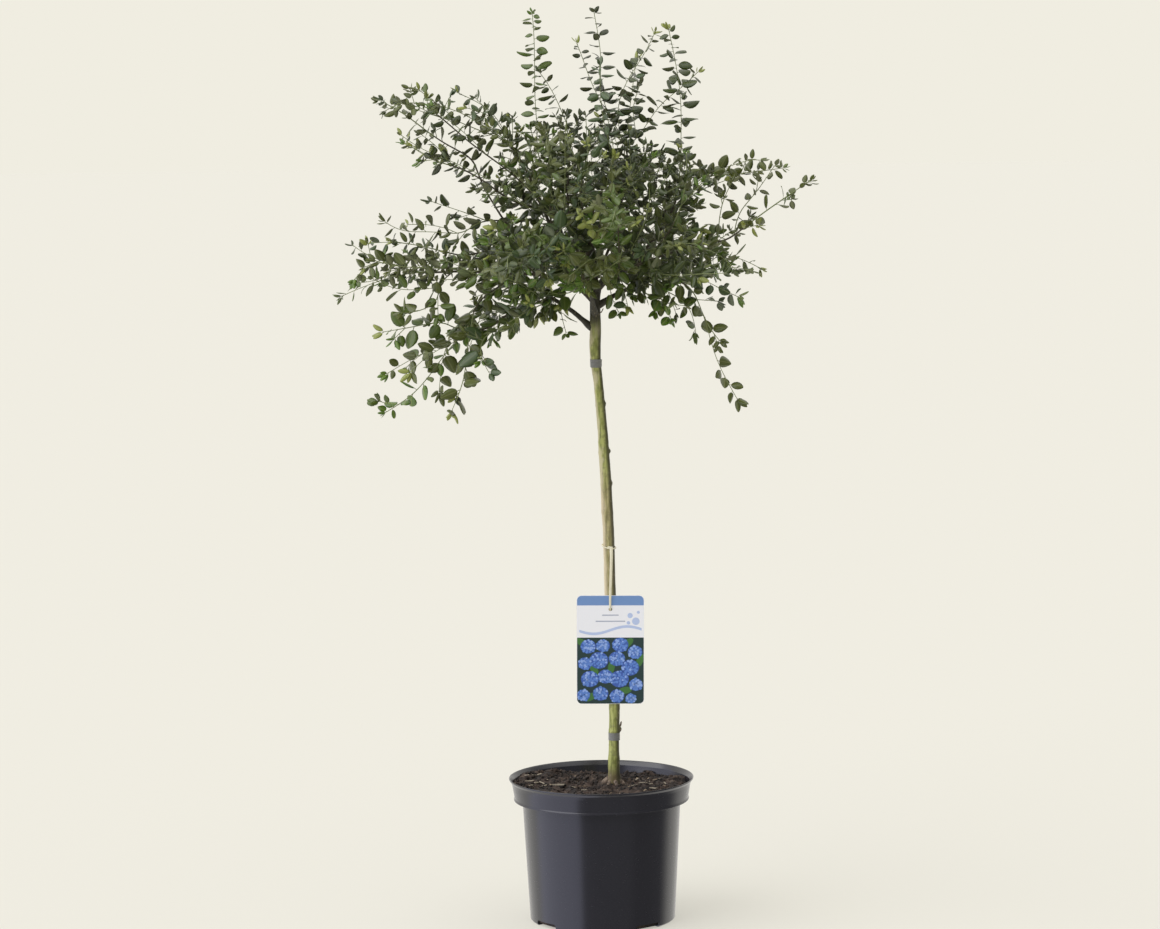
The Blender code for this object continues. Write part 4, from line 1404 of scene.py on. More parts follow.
def print_mesh():
    """All the patches as thin closed plates on the front of the card, each with its own ink."""
    points, faces, inks = [], [], []
    for outline, layer, ink in printed_patches():
        count, first = len(outline), len(points)
        for level in (LABEL_THICK / 2, LABEL_THICK / 2 + layer * INK):
            points.extend(card_place @ Vector((x, y, level)) for x, y in outline)
        rows = [list(range(first, first + count))[::-1], list(range(first + count, first + 2 * count))]
        for step in range(count):
            after = (step + 1) % count
            rows.append([first + step, first + after, first + count + after, first + count + step])
        faces.extend(rows)
        inks.extend([INK_NAMES.index(ink)] * len(rows))
    made = mesh_object("label_print", points, faces, smooth_under=1)
    made.data.polygons.foreach_set("material_index", inks)
    return made


label_print = print_mesh()
ink_finishes = [finish("ink_" + name, {"Base Color": INKS[name], "Roughness": 0.3}) for name in INK_NAMES]
fasten(label_print, "label_card", materials=ink_finishes)

# %% [markdown]
# ## How the crown grows
#
# A shrub fills its room by growing each new twig from the nearest wood it has, with a liking for straight
# runs back to the trunk. The same rule works here. First come the long sprays that stand clear of the crown,
# each drawn as a few points. Then buds are strewn through the room of every mass. Last, the cheapest
# link from wood to bud is made again and again, so that boughs branch until every bud is reached.

# %% Sprays that stand clear
# Each route is (across, height) in millimetres on the upright plane through the stem. Its tip lies `depth`
# millimetres behind that plane, along the camera's line of sight. Leaf length and gap are in millimetres, and
# `bare` is the share of the spray, from its foot, that has dropped its leaves.
Spray = namedtuple("Spray", "route depth leaf gap kind bare", defaults=(0.0,))
SPRAYS = [Spray(*row) for row in (
    ([(-66, 951), (-70, 994), (-70, 1034), (-70, 1075), (-72, 1104)], -6, 17, 4.4, "shoot"),
    ([(-32, 968), (-44, 1001), (-54, 1020), (-65, 1034)], 18, 16.5, 5.6, "shoot"),
    ([(19, 976), (7, 1016), (11, 1045), (4, 1093), (2, 1104)], 6, 16.5, 6.4, "shoot"),
    ([(7, 998), (-5, 1026), (-12, 1050), (-19, 1067)], -28, 16, 5.2, "shoot"),
    ([(25, 983), (41, 1023), (62, 1052), (75, 1079)], 24, 16.5, 4.6, "shoot"),
    ([(43, 983), (50, 999), (56, 1016)], 30, 16.5, 5.4, "shoot"),
    ([(102, 889), (105, 949), (105, 1002), (99, 1044), (91, 1084)], -6, 18.5, 4.8, "shoot"),
    ([(55, 955), (81, 994), (108, 1013), (126, 1031)], 30, 16.5, 4.8, "shoot"),
    ([(-138, 928), (-185, 952), (-228, 986), (-260, 1003)], 10, 17, 9, "upper"),
    ([(-186, 982), (-205, 998), (-220, 1015)], -20, 15, 8, "upper"),
    ([(-114, 957), (-156, 985), (-190, 996)], -30, 17, 9, "upper"),
    ([(-108, 954), (-141, 965), (-176, 983)], 30, 18.5, 9, "upper"),
    ([(-99, 957), (-118, 975), (-133, 996)], -10, 17, 9, "upper"),
    ([(-180, 931), (-210, 944), (-232, 960)], 30, 16, 8, "upper"),
    ([(-103, 879), (-133, 904), (-169, 923), (-209, 928)], -30, 18.5, 10, "upper"),
    ([(-139, 862), (-169, 870), (-197, 880)], 20, 19.5, 10, "side"),
    ([(-152, 838), (-200, 844), (-234, 843), (-253, 856)], -10, 18.5, 10, "side"),
    ([(-177, 796), (-225, 794), (-273, 781), (-309, 766)], 0, 17, 8, "side"),
    ([(-207, 790), (-246, 806), (-278, 816), (-293, 829)], 30, 16, 9, "side"),
    ([(-160, 812), (-190, 822), (-214, 826)], 20, 17, 9, "side"),
    ([(-150, 790), (-178, 784), (-204, 786)], -40, 18, 9, "side"),
    ([(-189, 778), (-225, 772), (-257, 779)], -30, 19.5, 9, "side"),
    ([(-177, 738), (-214, 730), (-258, 723)], -30, 23, 11.2, "weeping"),
    ([(-189, 760), (-214, 746), (-235, 746)], -60, 23, 12.5, "weeping"),
    ([(-172, 711), (-198, 675), (-223, 646), (-257, 625)], -30, 19, 10, "weeping"),
    ([(-190, 705), (-212, 697), (-230, 680)], 20, 21.5, 12.5, "weeping"),
    ([(-147, 741), (-156, 705), (-160, 665), (-177, 624)], -60, 25, 13.8, "weeping"),
    ([(-135, 723), (-142, 696), (-130, 672)], -80, 26.5, 15, "weeping"),
    ([(-178, 723), (-187, 687), (-191, 648)], -20, 24, 13.8, "weeping"),
    ([(84, 901), (132, 906), (180, 909), (229, 915)], 30, 17, 9, "upper"),
    ([(126, 905), (160, 917), (195, 928)], -10, 16, 9, "upper"),
    ([(152, 828), (150, 866), (166, 899)], -20, 17, 11, "side"),
    ([(168, 859), (189, 878), (202, 895)], 10, 17, 10, "side"),
    ([(156, 825), (196, 856), (231, 880), (261, 900)], -10, 17, 17, "side", 0.35),
    ([(125, 810), (168, 810), (200, 794)], 40, 18.5, 10, "side"),
    ([(113, 792), (144, 774), (173, 760)], -40, 19.5, 10, "side"),
    ([(113, 780), (130, 741), (146, 683), (170, 637)], -40, 22, 11, "weeping", 0.55),
    ([(77, 769), (86, 749), (91, 735)], -60, 23, 12.5, "weeping"),
    ([(107, 762), (118, 738), (121, 716)], -20, 20.5, 11.2, "weeping"),
    ([(125, 750), (139, 719), (150, 707)], -60, 20.5, 15, "weeping"),
    ([(-80, 766), (-76, 752), (-70, 740)], 20, 22, 11, "low"),
    ([(-105, 753), (-117, 732), (-127, 714)], 0, 21, 11, "low"),
    ([(-44, 758), (-42, 739), (-36, 719)], -30, 21, 12, "low"),
    ([(14, 767), (22, 757), (28, 743)], -40, 20, 12, "low"),
    ([(-18, 782), (-32, 767), (-40, 752)], -40, 22, 9, "low"),
    ([(-32, 780), (-46, 764), (-54, 748)], -35, 24, 9, "low"),
    ([(-40, 776), (-58, 760), (-66, 744)], -15, 22, 10, "low"),
    ([(-62, 772), (-78, 756), (-86, 741)], -35, 22, 10, "low"),
    ([(20, 792), (34, 776), (44, 762)], -45, 20, 9, "low"),
    ([(42, 792), (54, 774), (62, 760)], -45, 20, 9, "low"),
    ([(-128, 774), (-149, 748), (-156, 730)], -25, 21, 11, "low"),
    ([(54, 776), (68, 759), (73, 744)], -30, 20, 12, "low"),
    ([(76, 776), (92, 756), (97, 741)], -15, 19, 12, "low"),
    ([(29, 781), (36, 764), (39, 750)], -50, 19, 12, "low"),
    ([(-53, 840), (-42, 828), (-35, 816), (-35, 804)], -105, 14, 8, "young"),
    ([(-36, 799), (-22, 787), (-15, 785), (-9, 771)], -100, 14, 9, "young"),
    ([(5, 847), (29, 839), (53, 821), (72, 796)], -100, 12, 13, "young"),
    ([(-80, 831), (-65, 822), (-48, 810)], -100, 13, 12, "young"),
    ([(3, 878), (20, 890), (39, 900)], -105, 12, 14, "young"),
    ([(-100, 831), (-103, 846), (-98, 860)], -90, 14, 9, "young"),
    ([(-78, 912), (-72, 929), (-65, 946)], -80, 14, 9, "young"),
    ([(32, 882), (42, 894), (47, 906)], -110, 13, 10, "young"),
    ([(24, 925), (10, 985), (8, 1040)], -100, 18.5, 6.1, "shoot"),
    ([(34, 925), (44, 990), (52, 1046)], 110, 18.5, 6.1, "shoot"),
)]
SPRAY_STEP = 0.014
DEPTH_AT_FOOT = 0.45


def on_sight_line(across, height, depth):
    """Carries a point from the plane of the stem to another depth, so that it still shows in one place."""
    flat = Vector((across, 0.0, height)) / 1000
    return np.array(camera_place + (flat - camera_place) * (1 + depth / 1000 / CAMERA_AWAY))


def run_along(points):
    """How far each point lies along a path from its start."""
    return np.append(0, np.cumsum(np.linalg.norm(np.diff(points, axis=0), axis=1)))


def points_at(distances, reach, points):
    """The points that lie at distances along a path."""
    return np.stack([np.interp(distances, reach, points[:, axis]) for axis in range(3)], axis=-1)


def spray_points(spray):
    """The nodes of one spray: its route as a smooth curve, cut into even steps."""
    last = len(spray.route) - 1
    depths = [spray.depth * (DEPTH_AT_FOOT + (1 - DEPTH_AT_FOOT) * index / last) for index in range(last + 1)]
    curve = smooth_path([on_sight_line(*point, depth) for point, depth in zip(spray.route, depths)], 12)
    reach = run_along(curve)
    count = max(2, int(round(reach[-1] / SPRAY_STEP)) + 1)
    return points_at(np.linspace(0, reach[-1], count), reach, curve)


# %% Buds in the room of each mass
MASSES = sorted(name for name in nodes if name.startswith(("foliage_", "shoot_")))
Growth = namedtuple("Growth", "gap leaf leaf_gap kind bare", defaults=(0.0,))
LOW_HEART = Growth(0.0205, 21, 10, "low")
HIGH_HEART = Growth(0.0195, 15.5, 8.5, "high")
LOW_LOBE = Growth(0.0200, 21, 10, "low")
LOBE = Growth(0.0290, 17, 9.5, "side")
LEFT_LOBE = Growth(0.0212, 18, 8.6, "side")
TOP_LOBE = Growth(0.0212, 16.5, 8.2, "upper")
RIGHT_LOBE = Growth(0.0245, 18, 9.5, "side")
THIN_LOBE = Growth(0.0290, 18, 11, "side")
WEEPING_LOBE = Growth(0.0305, 21, 12, "weeping")
BARE_LOBE = Growth(0.0450, 21, 14, "weeping")
GROWTH_OF_LOBE = {
    "left_low": LOW_LOBE, "front_left_low": LOW_LOBE, "front_left": LOW_LOBE,
    "left_upper": TOP_LOBE, "left_upper_low": TOP_LOBE,
    "left_spray": LEFT_LOBE, "left": LEFT_LOBE, "left_tip": LEFT_LOBE,
    "left_weeping": WEEPING_LOBE, "left_weeping_inner": WEEPING_LOBE, "right_weeping": BARE_LOBE,
    "right_upper": RIGHT_LOBE, "right_far": RIGHT_LOBE, "right": RIGHT_LOBE,
    "right_low": THIN_LOBE, "right_hanging": THIN_LOBE,
}
BUD_SEED = 5
TRIES_PER_BUD = 6
LATEST_BUDS = 900
CROWN_MIDDLE = np.array((0.0, 0.0, 0.860))


def growth_of(name):
    if name.startswith("foliage_lower"):
        return LOW_HEART
    if name.startswith(("foliage_upper", "foliage_top")):
        return HIGH_HEART
    return GROWTH_OF_LOBE.get(name.replace("foliage_", ""), LOBE)


def mass_tree(name):
    mesh = nodes[name].data
    return BVHTree.FromPolygons([v.co for v in mesh.vertices], [list(f.vertices) for f in mesh.polygons])


def inside(tree, point):
    """True if a line up from the point leaves the closed mass an odd number of times."""
    crossings, start = 0, Vector(point)
    way = Vector((0.031, 0.017, 1.0)).normalized()
    while True:
        hit = tree.ray_cast(start, way)
        if hit[0] is None:
            return crossings % 2 == 1
        crossings += 1
        start = hit[0] + way * 1e-5


def strewn_buds():
    """Buds at random places in every mass, no two nearer than the mass's gap."""
    rng = np.random.default_rng(BUD_SEED)
    kept, owners = [], []
    for name in MASSES:
        if name.startswith("shoot_"):
            continue
        growth, tree = growth_of(name), mass_trees[name]
        low, high = (np.array(corner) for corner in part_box(name))
        tries = int(np.prod(high - low) / growth.gap**3 * TRIES_PER_BUD)
        for point in rng.uniform(low, high, (tries, 3)):
            near = np.array(kept[-LATEST_BUDS:]) if kept else np.empty((0, 3))
            if len(near) and (np.linalg.norm(near - point, axis=1) < growth.gap).any():
                continue
            if inside(tree, point):
                kept.append(point)
                owners.append(name)
    return np.array(kept), owners


mass_trees = {name: mass_tree(name) for name in MASSES}
buds, bud_owners = strewn_buds()
print(f"buds: {len(buds)} in {len(set(bud_owners))} masses")

# %% Linking wood to buds
TURN_COST = 0.55
RUN_COST = 0.30
LEADER_FROM = 0.745
LEADER_RADIUS = 0.0038
BOUGH_RUN = 0.04
LIMB_STEP = 3
BARE_SLICES = 3


class Wood:
    """Every growing point of the crown: its place, its way, its parent, and its run from the fork."""

    def __init__(self, size):
        self.place = np.zeros((size, 3))
        self.way = np.zeros((size, 3))
        self.run = np.zeros(size)
        self.parent = np.full(size, -1)
        self.growth = [None] * size
        self.limb_radius = np.zeros(size)
        self.count = 0

    def add(self, place, way, run, parent, growth, limb_radius=0.0):
        index = self.count
        self.place[index], self.way[index], self.run[index] = place, way, run
        self.parent[index], self.growth[index], self.limb_radius[index] = parent, growth, limb_radius
        self.count += 1
        return index


def start_on_limbs(wood):
    """The leader above the fork and the outer half of each bough carry the first twigs."""
    leader = [point for point in stem_limb.path if point[2] > LEADER_FROM][::LIMB_STEP]
    limbs = [(leader, LEADER_RADIUS, 0.0)]
    limbs += [(list(limb.path[BARE_SLICES:]), limb.radii[-1], BOUGH_RUN) for limb in bough_limbs.values()]
    for path, radius, run in limbs:
        ways = np.gradient(np.array(path), axis=0)
        for step, (place, way) in enumerate(zip(path, ways)):
            length = float(np.linalg.norm(way))
            wood.add(place, way / length, run + step * length, -1, HIGH_HEART, radius)


def link_cost(wood, index, feet):
    """What it costs to reach each foot from one growing point: distance, turning, and the run behind it."""
    gap = feet - wood.place[index]
    distance = np.linalg.norm(gap, axis=1) + 1e-9
    bend = 1 - gap @ wood.way[index] / distance
    return distance * (1 + TURN_COST * bend) + RUN_COST * wood.run[index]


def grow(items):
    """Links every item, a list of points with its growth, to the wood, cheapest first."""
    wood = Wood(sum(len(points) for points, growth in items) + 200)
    start_on_limbs(wood)
    feet = np.array([points[0] for points, growth in items])
    best = np.full(len(items), np.inf)
    source = np.zeros(len(items), int)
    waiting = np.ones(len(items), bool)

    def offer(index):
        cost = link_cost(wood, index, feet)
        better = cost < best
        best[better], source[better] = cost[better], index

    for index in range(wood.count):
        offer(index)
    for _ in items:
        pick = int(np.argmin(np.where(waiting, best, np.inf)))
        waiting[pick] = False
        parent = source[pick]
        points, growth = items[pick]
        for point in points:
            gap = point - wood.place[parent]
            length = float(np.linalg.norm(gap)) + 1e-9
            parent = wood.add(point, gap / length, wood.run[parent] + length, parent, growth)
            offer(parent)
    return wood


items = [(spray_points(spray), Growth(0, *spray[2:])) for spray in SPRAYS]
items += [([bud], growth_of(owner)) for bud, owner in zip(buds, bud_owners)]
wood = grow(items)
print(f"wood: {wood.count} growing points, longest run {wood.run.max():.2f} m")

# %% [markdown]
# ## From growing points to twigs
#
# Leonardo noticed that a limb is about as thick as all its twigs together. So the radius of every point
# follows from the tips it carries. Each chain of points runs on along its thickest child, and its curve is
# smoothed, because young wood bends and does not kink.

# %% Chains and girth
TIP_RADIUS = 0.00042
GIRTH_POWER = 2.35
GIRTH_PER_STEP = 1.02
CHAIN_SMOOTHING = 3
CHAIN_PULL = 0.4
# The most that a chain's foot may measure against its second point, and a chain against the limb it leaves
MOST_AT_FOOT = 1.15
MOST_OF_LIMB = 0.8
Chain = namedtuple("Chain", "points radii growth")


def girths(wood):
    """Radius of every growing point, from its tips back to the limbs."""
    total = np.zeros(wood.count)
    for index in np.argsort(-wood.run[: wood.count]):
        total[index] = max(total[index], TIP_RADIUS**GIRTH_POWER)
        parent = wood.parent[index]
        if parent >= 0:
            total[parent] += total[index] * GIRTH_PER_STEP
    return total ** (1 / GIRTH_POWER)


def chain_lists(wood, girth):
    """Every chain as a list of points, which starts at the point it branches from."""
    children = [[] for _ in range(wood.count)]
    for index in range(wood.count):
        if wood.parent[index] >= 0:
            children[wood.parent[index]].append(index)
    roots = [index for index in range(wood.count) if wood.parent[index] < 0]
    starts = [(root, child) for root in roots for child in children[root]]
    made = []
    while starts:
        parent, index = starts.pop()
        chain = [parent, index]
        while children[index]:
            following = sorted(children[index], key=lambda child: -girth[child])
            starts.extend((index, child) for child in following[1:])
            index = following[0]
            chain.append(index)
        made.append(chain)
    return made


def relaxed(wood, chains):
    """Draws each point a little towards its neighbours along its chain, tips and feet held."""
    place = wood.place.copy()
    for _ in range(CHAIN_SMOOTHING):
        for chain in chains:
            inner = np.array(chain[1:-1], int)
            if len(inner):
                around = (place[np.array(chain[:-2])] + place[np.array(chain[2:])]) / 2
                place[inner] = place[inner] * (1 - CHAIN_PULL) + around * CHAIN_PULL
    return place


def grown_chains(wood):
    """Every chain as smooth points with a radius at each, and the growth of its tip."""
    girth = girths(wood)
    chains = chain_lists(wood, girth)
    place = relaxed(wood, chains)
    made = []
    for chain in chains:
        radii = girth[chain]
        limb = wood.limb_radius[chain[0]]
        radii[0] = min(radii[0], radii[1] * MOST_AT_FOOT)
        if limb > 0:
            radii = np.minimum(radii, limb * MOST_OF_LIMB)
        points = smooth_path(place[chain], 3)
        share = np.linspace(0, len(chain) - 1, len(points))
        made.append(Chain(points, np.interp(share, range(len(chain)), radii), wood.growth[chain[-1]]))
    return made


chains = grown_chains(wood)
twig_length = sum(run_along(chain.points)[-1] for chain in chains)
thickest = max(chain.radii.max() for chain in chains)
print(f"twigs: {len(chains)} chains, {twig_length:.1f} m of wood, thickest {thickest * 2000:.1f} mm")

# %% [markdown]
# ## Skin for the twigs
#
# A twig is a line with a radius. Geometry Nodes turns the lines into curves, reads the radius that is stored
# with each point, and sweeps a small ring along. Old wood is brown and new wood is pale green, so there are
# two meshes.

# %% Twigs
GREEN_UNDER = 0.00085
# Slot, sides and look of the old wood and the new
WOODS = {
    "branches": ("bough_bark", 7, {"Base Color": (0.085, 0.072, 0.038), "Roughness": 0.62}),
    "green_twigs": ("stem_bark", 5, {"Base Color": (0.200, 0.235, 0.085), "Roughness": 0.50}),
}


def twig_tree():
    """Sweeps a ring along loose lines, as thick as the girth stored with each point."""
    tree, start = geometry_tree("twig_skin", {"Sides": "Int", "Finish": "Material"})
    girth = start.node("GeometryNodeInputNamedAttribute", {"Name": "girth"}, data_type="FLOAT")
    curve = start.node("GeometryNodeMeshToCurve", {"Mesh": start})
    ring = start.node("GeometryNodeCurvePrimitiveCircle", {"Resolution": start.pick("Sides"), "Radius": 1.0})
    skin = start.node("GeometryNodeCurveToMesh", {
        "Curve": curve, "Profile Curve": ring, "Scale": girth, "Fill Caps": True})
    end_tree(start, skin)
    return tree


def twig_lines(name, runs):
    """Loose lines with a girth at each point."""
    points = np.vstack([run[0] for run in runs])
    girth = np.concatenate([run[1] for run in runs])
    edges, first = [], 0
    for run in runs:
        edges.extend((first + step, first + step + 1) for step in range(len(run[0]) - 1))
        first += len(run[0])
    mesh = bpy.data.meshes.new(name)
    mesh.from_pydata(points.tolist(), edges, [])
    mesh.attributes.new("girth", "FLOAT", "POINT").data.foreach_set("value", girth.astype(np.float32))
    return add_object(name, mesh)


def split_by_age(chains):
    """Cuts each chain where its wood turns from brown to green."""
    brown, green = [], []
    for chain in chains:
        old = int((chain.radii > GREEN_UNDER).sum())
        if old > 1:
            brown.append((chain.points[: old + 1], chain.radii[: old + 1]))
        if len(chain.radii) - old > 1:
            first = max(old - 1, 0) if old > 1 else 0
            green.append((chain.points[first:], chain.radii[first:]))
    return {"branches": brown, "green_twigs": green}


twig_skin = twig_tree()
for name, runs in split_by_age(chains).items():
    slot, sides, sockets = WOODS[name]
    lines = twig_lines(name, runs)
    run_tree(lines, twig_skin, {"Sides": sides, "Finish": finish(name + "_bark", sockets)})
    lines.data.shade_smooth()
    fasten(lines, slot)

# %% [markdown]
# ## The shape of a leaf
#
# A ceanothus leaf is a small oval with a blunt tip. It is dark and glossy above and paler below, it arches
# down at both edges and towards the tip, and three veins are sunk in it. One leaf is modelled at unit size
# in four forms that differ in outline, arch, cup and twist. A face attribute says what each face is: upper
# side, under side, or midrib and stalk.

# %% Leaf forms
UPPER, UNDER, RIB = 0, 1, 2
LEAF_STATIONS = (0.0, 0.07, 0.22, 0.42, 0.64, 0.84, 0.96, 1.0)
LEAF_THICK = 0.018
RIB_HALF = 0.045
VEIN_DEPTH = 0.012
SIDE_VEIN = 0.52
STALK_LENGTH = 0.16
STALK_HALF = 0.022
LeafForm = namedtuple("LeafForm", "fullness blunt arch cup twist")
LEAF_FORMS = (
    LeafForm(0.92, 0.80, 0.20, 0.20, 0.10),
    LeafForm(0.86, 0.95, 0.36, 0.12, -0.22),
    LeafForm(1.00, 0.70, 0.08, 0.30, 0.16),
    LeafForm(0.90, 0.85, -0.10, 0.16, -0.08),
)


def leaf_half_width(share, form):
    """Half the blade's width at a share of its length."""
    return 0.5 * form.fullness * max(0.0, math.sin(math.pi * share**form.blunt)) ** 0.62


def leaf_height(across, share, form):
    """Height of the blade: it cups down to its edges, arches to its tip, and dips along three veins."""
    cup = -form.cup * across**2 * 0.5
    arch = -form.arch * (share - 0.3) ** 2
    midrib = math.exp(-((across / 0.10) ** 2))
    side_veins = 0.7 * math.exp(-(((abs(across) - SIDE_VEIN) / 0.16) ** 2))
    sunk = -VEIN_DEPTH * (midrib + side_veins)
    return cup * math.sin(math.pi * min(share, 0.98)) + arch + sunk + form.twist * across * share * 0.3


def leaf_mesh(name, form):
    """One leaf along +Y, with its upper side towards +Z: a closed blade and a short stalk."""
    points, faces, kinds, rows = [], [], [], []
    for share in LEAF_STATIONS:
        half = leaf_half_width(share, form)
        if half < 1e-4:
            height = leaf_height(0.0, share, form)
            rows.append([len(points)] * 7)
            points.append((0.0, share, height))
            continue
        rib = min(RIB_HALF / half, 0.4)
        places = (-1, -SIDE_VEIN, -rib, rib, SIDE_VEIN, 1)
        top = [(across * half, share, leaf_height(across, share, form)) for across in places]
        below = (0.0, share, leaf_height(0.0, share, form) - LEAF_THICK)
        rows.append(list(range(len(points), len(points) + 7)))
        points.extend(top + [below])
    strips = (UPPER, UPPER, RIB, UPPER, UPPER, UNDER, UNDER)
    for near, far in zip(rows, rows[1:]):
        for first, kind in enumerate(strips):
            last = (first + 1) % len(strips)
            corners = list(dict.fromkeys((near[first], near[last], far[last], far[first])))
            if len(corners) > 2:
                faces.append(corners)
                kinds.append(kind)
    base = leaf_height(0.0, 0.0, form)
    first = len(points)
    for y, z, size in ((-STALK_LENGTH, base - 0.03, 1.0), (0.05, base, 0.8)):
        for angle in turns_of(3):
            across, up = -math.sin(angle), math.cos(angle)
            points.append((STALK_HALF * size * across * 1.6, y, z + STALK_HALF * size * up))
    for step in range(3):
        after = (step + 1) % 3
        faces.append([first + step, first + after, first + 3 + after, first + 3 + step])
        kinds.append(RIB)
    faces.extend([[first, first + 1, first + 2], [first + 3, first + 4, first + 5]])
    kinds.extend([RIB, RIB])
    mesh = bpy.data.meshes.new(name)
    mesh.from_pydata([(x, y + STALK_LENGTH, z) for x, y, z in points], [], faces)
    mesh.attributes.new("kind", "INT", "FACE").data.foreach_set("value", kinds)
    face_outwards(mesh)
    return mesh


def leaf_collection():
    """The leaf forms in a collection of their own, which is never drawn."""
    group = bpy.data.collections.new("leaf_forms")
    for index, form in enumerate(LEAF_FORMS):
        mesh = leaf_mesh(f"leaf_form_{index}", form)
        mesh.shade_smooth()
        group.objects.link(bpy.data.objects.new(f"leaf_form_{index}", mesh))
    return group


leaf_group = leaf_collection()

# %% [markdown]
# ## Where the leaves sit
#
# Leaves leave a twig one by one, each turned about 137 degrees from the last. They all twist on their stalks
# to hold their upper side up and out to the light. They are small at the tip, where a rosette of new
# leaves is still yellow green. Each spray gets one tint, so the colours lie in patches, as on the shrub.

# %% Leaf places
GOLDEN_TURN = math.radians(137.5)
LEAF_SEED = 11
BARE_OVER = 0.0016
# Leaves shrink to the youngest share of their size over this length at a twig's tip
YOUNG_LENGTH, YOUNGEST = 0.045, 0.62
PATCH_SIZE = 0.075
PATCH_PULL = 0.70
BRIGHT_PLACE = np.array((-0.075, -0.05, 0.795))
BRIGHT_SIZE = 0.085
BRIGHT_PULL = 0.32
TINT_MIDDLE = 0.45
TINT_SPREAD = 0.16
# Least and most, as shares of the growth's leaf length, or of a leaf's own length for a width
LEAF_SIZES = (0.78, 1.18)
ROSETTE_SIZES = (0.36, 0.70)
ROSETTE_WIDTHS = (0.46, 0.62)
# From dark to pale, and the chance of each by kind of growth
TINTS = ("deep", "dark", "blue_green", "olive", "mid", "fresh", "tip")
Habit = namedtuple("Habit", "chances spread width outward forward young_tips")
HABITS = {
    "low": Habit((0.15, 0.21, 0.08, 0.18, 0.20, 0.16, 0.02), (42, 75), (0.58, 0.78), 0.45, 0.20, 0.15),
    "high": Habit((0.26, 0.26, 0.08, 0.20, 0.13, 0.06, 0.01), (42, 80), (0.54, 0.74), 0.45, 0.10, 0.12),
    "side": Habit((0.06, 0.16, 0.10, 0.36, 0.20, 0.10, 0.02), (45, 78), (0.56, 0.74), 0.40, 0.15, 0.22),
    "upper": Habit((0.10, 0.20, 0.10, 0.30, 0.20, 0.09, 0.01), (50, 82), (0.56, 0.74), 0.35, 0.20, 0.30),
    "weeping": Habit((0.01, 0.09, 0.10, 0.30, 0.28, 0.22, 0.0), (45, 80), (0.62, 0.84), 0.30, 0.60, 0.22),
    "young": Habit((0.0, 0.0, 0.0, 0.08, 0.20, 0.45, 0.27), (34, 66), (0.40, 0.56), 0.30, 0.60, 0.9),
    "shoot": Habit((0.14, 0.26, 0.10, 0.36, 0.14, 0.0, 0.0), (66, 98), (0.54, 0.72), 0.15, 0.22, 0.40),
}


def strewn(rng):
    """A random direction."""
    return unit(rng.normal(size=3))


def leaf_frame(rng, twig_way, turn, place, habit, spread):
    """Which way a leaf points and which way its upper side looks."""
    across = unit(np.cross(twig_way, (0.13, 0.31, 0.94)))
    other = np.cross(twig_way, across)
    sideways = across * math.cos(turn) + other * math.sin(turn)
    along = unit(twig_way * math.cos(spread) + sideways * math.sin(spread) + strewn(rng) * 0.18)
    outward = unit((place - CROWN_MIDDLE) * (1, 1, 0.4))
    light = np.array((-0.10, -habit.forward, 0.50)) + outward * habit.outward + strewn(rng) * 0.55
    return along, unit(light - along * (light @ along))


def tint_of(place, habit, rng):
    """A tint for one spray. Neighbours tend to share it, and round one place low on the left the tints are
    paler.
    """
    patch = noise.noise(Vector(place) / PATCH_SIZE) * PATCH_PULL
    away = (place - BRIGHT_PLACE) / BRIGHT_SIZE
    bright = BRIGHT_PULL * math.exp(-float(away @ away))
    share = TINT_MIDDLE + patch + bright + rng.normal(0, TINT_SPREAD)
    reached = np.cumsum(habit.chances)
    return TINTS[min(int(np.searchsorted(reached, min(max(share, 0.0), 0.995))), len(TINTS) - 1)]


def leaves_on(chain, rng, sets):
    """Adds the leaves of one chain to the set of its spray's tint."""
    growth, habit = chain.growth, HABITS[chain.growth.kind]
    reach = run_along(chain.points)
    total = reach[-1]
    tint = tint_of(chain.points[-1], habit, rng)
    gap = growth.leaf_gap / 1000
    distance = gap * rng.uniform(0.5, 1.0) + growth.bare * total
    turn = rng.uniform(0, math.tau)
    while distance < total:
        place = points_at(distance, reach, chain.points)
        radius = float(np.interp(distance, reach, chain.radii))
        step = min(int(np.searchsorted(reach, distance)), len(reach) - 1)
        twig_way = unit(chain.points[step] - chain.points[step - 1])
        young = min(1.0, YOUNGEST + (1 - YOUNGEST) * (total - distance) / YOUNG_LENGTH)
        if radius < BARE_OVER:
            spread = math.radians(rng.uniform(*habit.spread))
            along, over = leaf_frame(rng, twig_way, turn, place, habit, spread)
            length = growth.leaf / 1000 * young * rng.uniform(*LEAF_SIZES)
            if growth.kind == "weeping":
                length *= 0.72 + 0.36 * distance / total
            width = length * rng.uniform(*habit.width)
            sets[tint].append((place, along, over, length, width, int(rng.integers(len(LEAF_FORMS)))))
        turn += GOLDEN_TURN + rng.uniform(-0.3, 0.3)
        distance += gap * (0.55 + 0.45 * young) * rng.uniform(0.75, 1.25)
    rosette(chain, habit, rng, sets, tint)


def rosette(chain, habit, rng, sets, tint):
    """The small leaves at a twig's tip, which stand up round its bud."""
    end = chain.points[-1]
    way = unit(chain.points[-1] - chain.points[-3])
    young = "tip" if rng.random() < habit.young_tips else "fresh" if rng.random() < habit.young_tips else tint
    for index in range(int(rng.integers(3, 6))):
        spread = math.radians(rng.uniform(14, 56))
        turn = index * GOLDEN_TURN + rng.uniform(-0.3, 0.3)
        along, over = leaf_frame(rng, way, turn, end, habit, spread)
        length = chain.growth.leaf / 1000 * rng.uniform(*ROSETTE_SIZES)
        width = length * rng.uniform(*ROSETTE_WIDTHS)
        sets[young].append((end - way * 0.001 * index, along, over, length, width, 0))


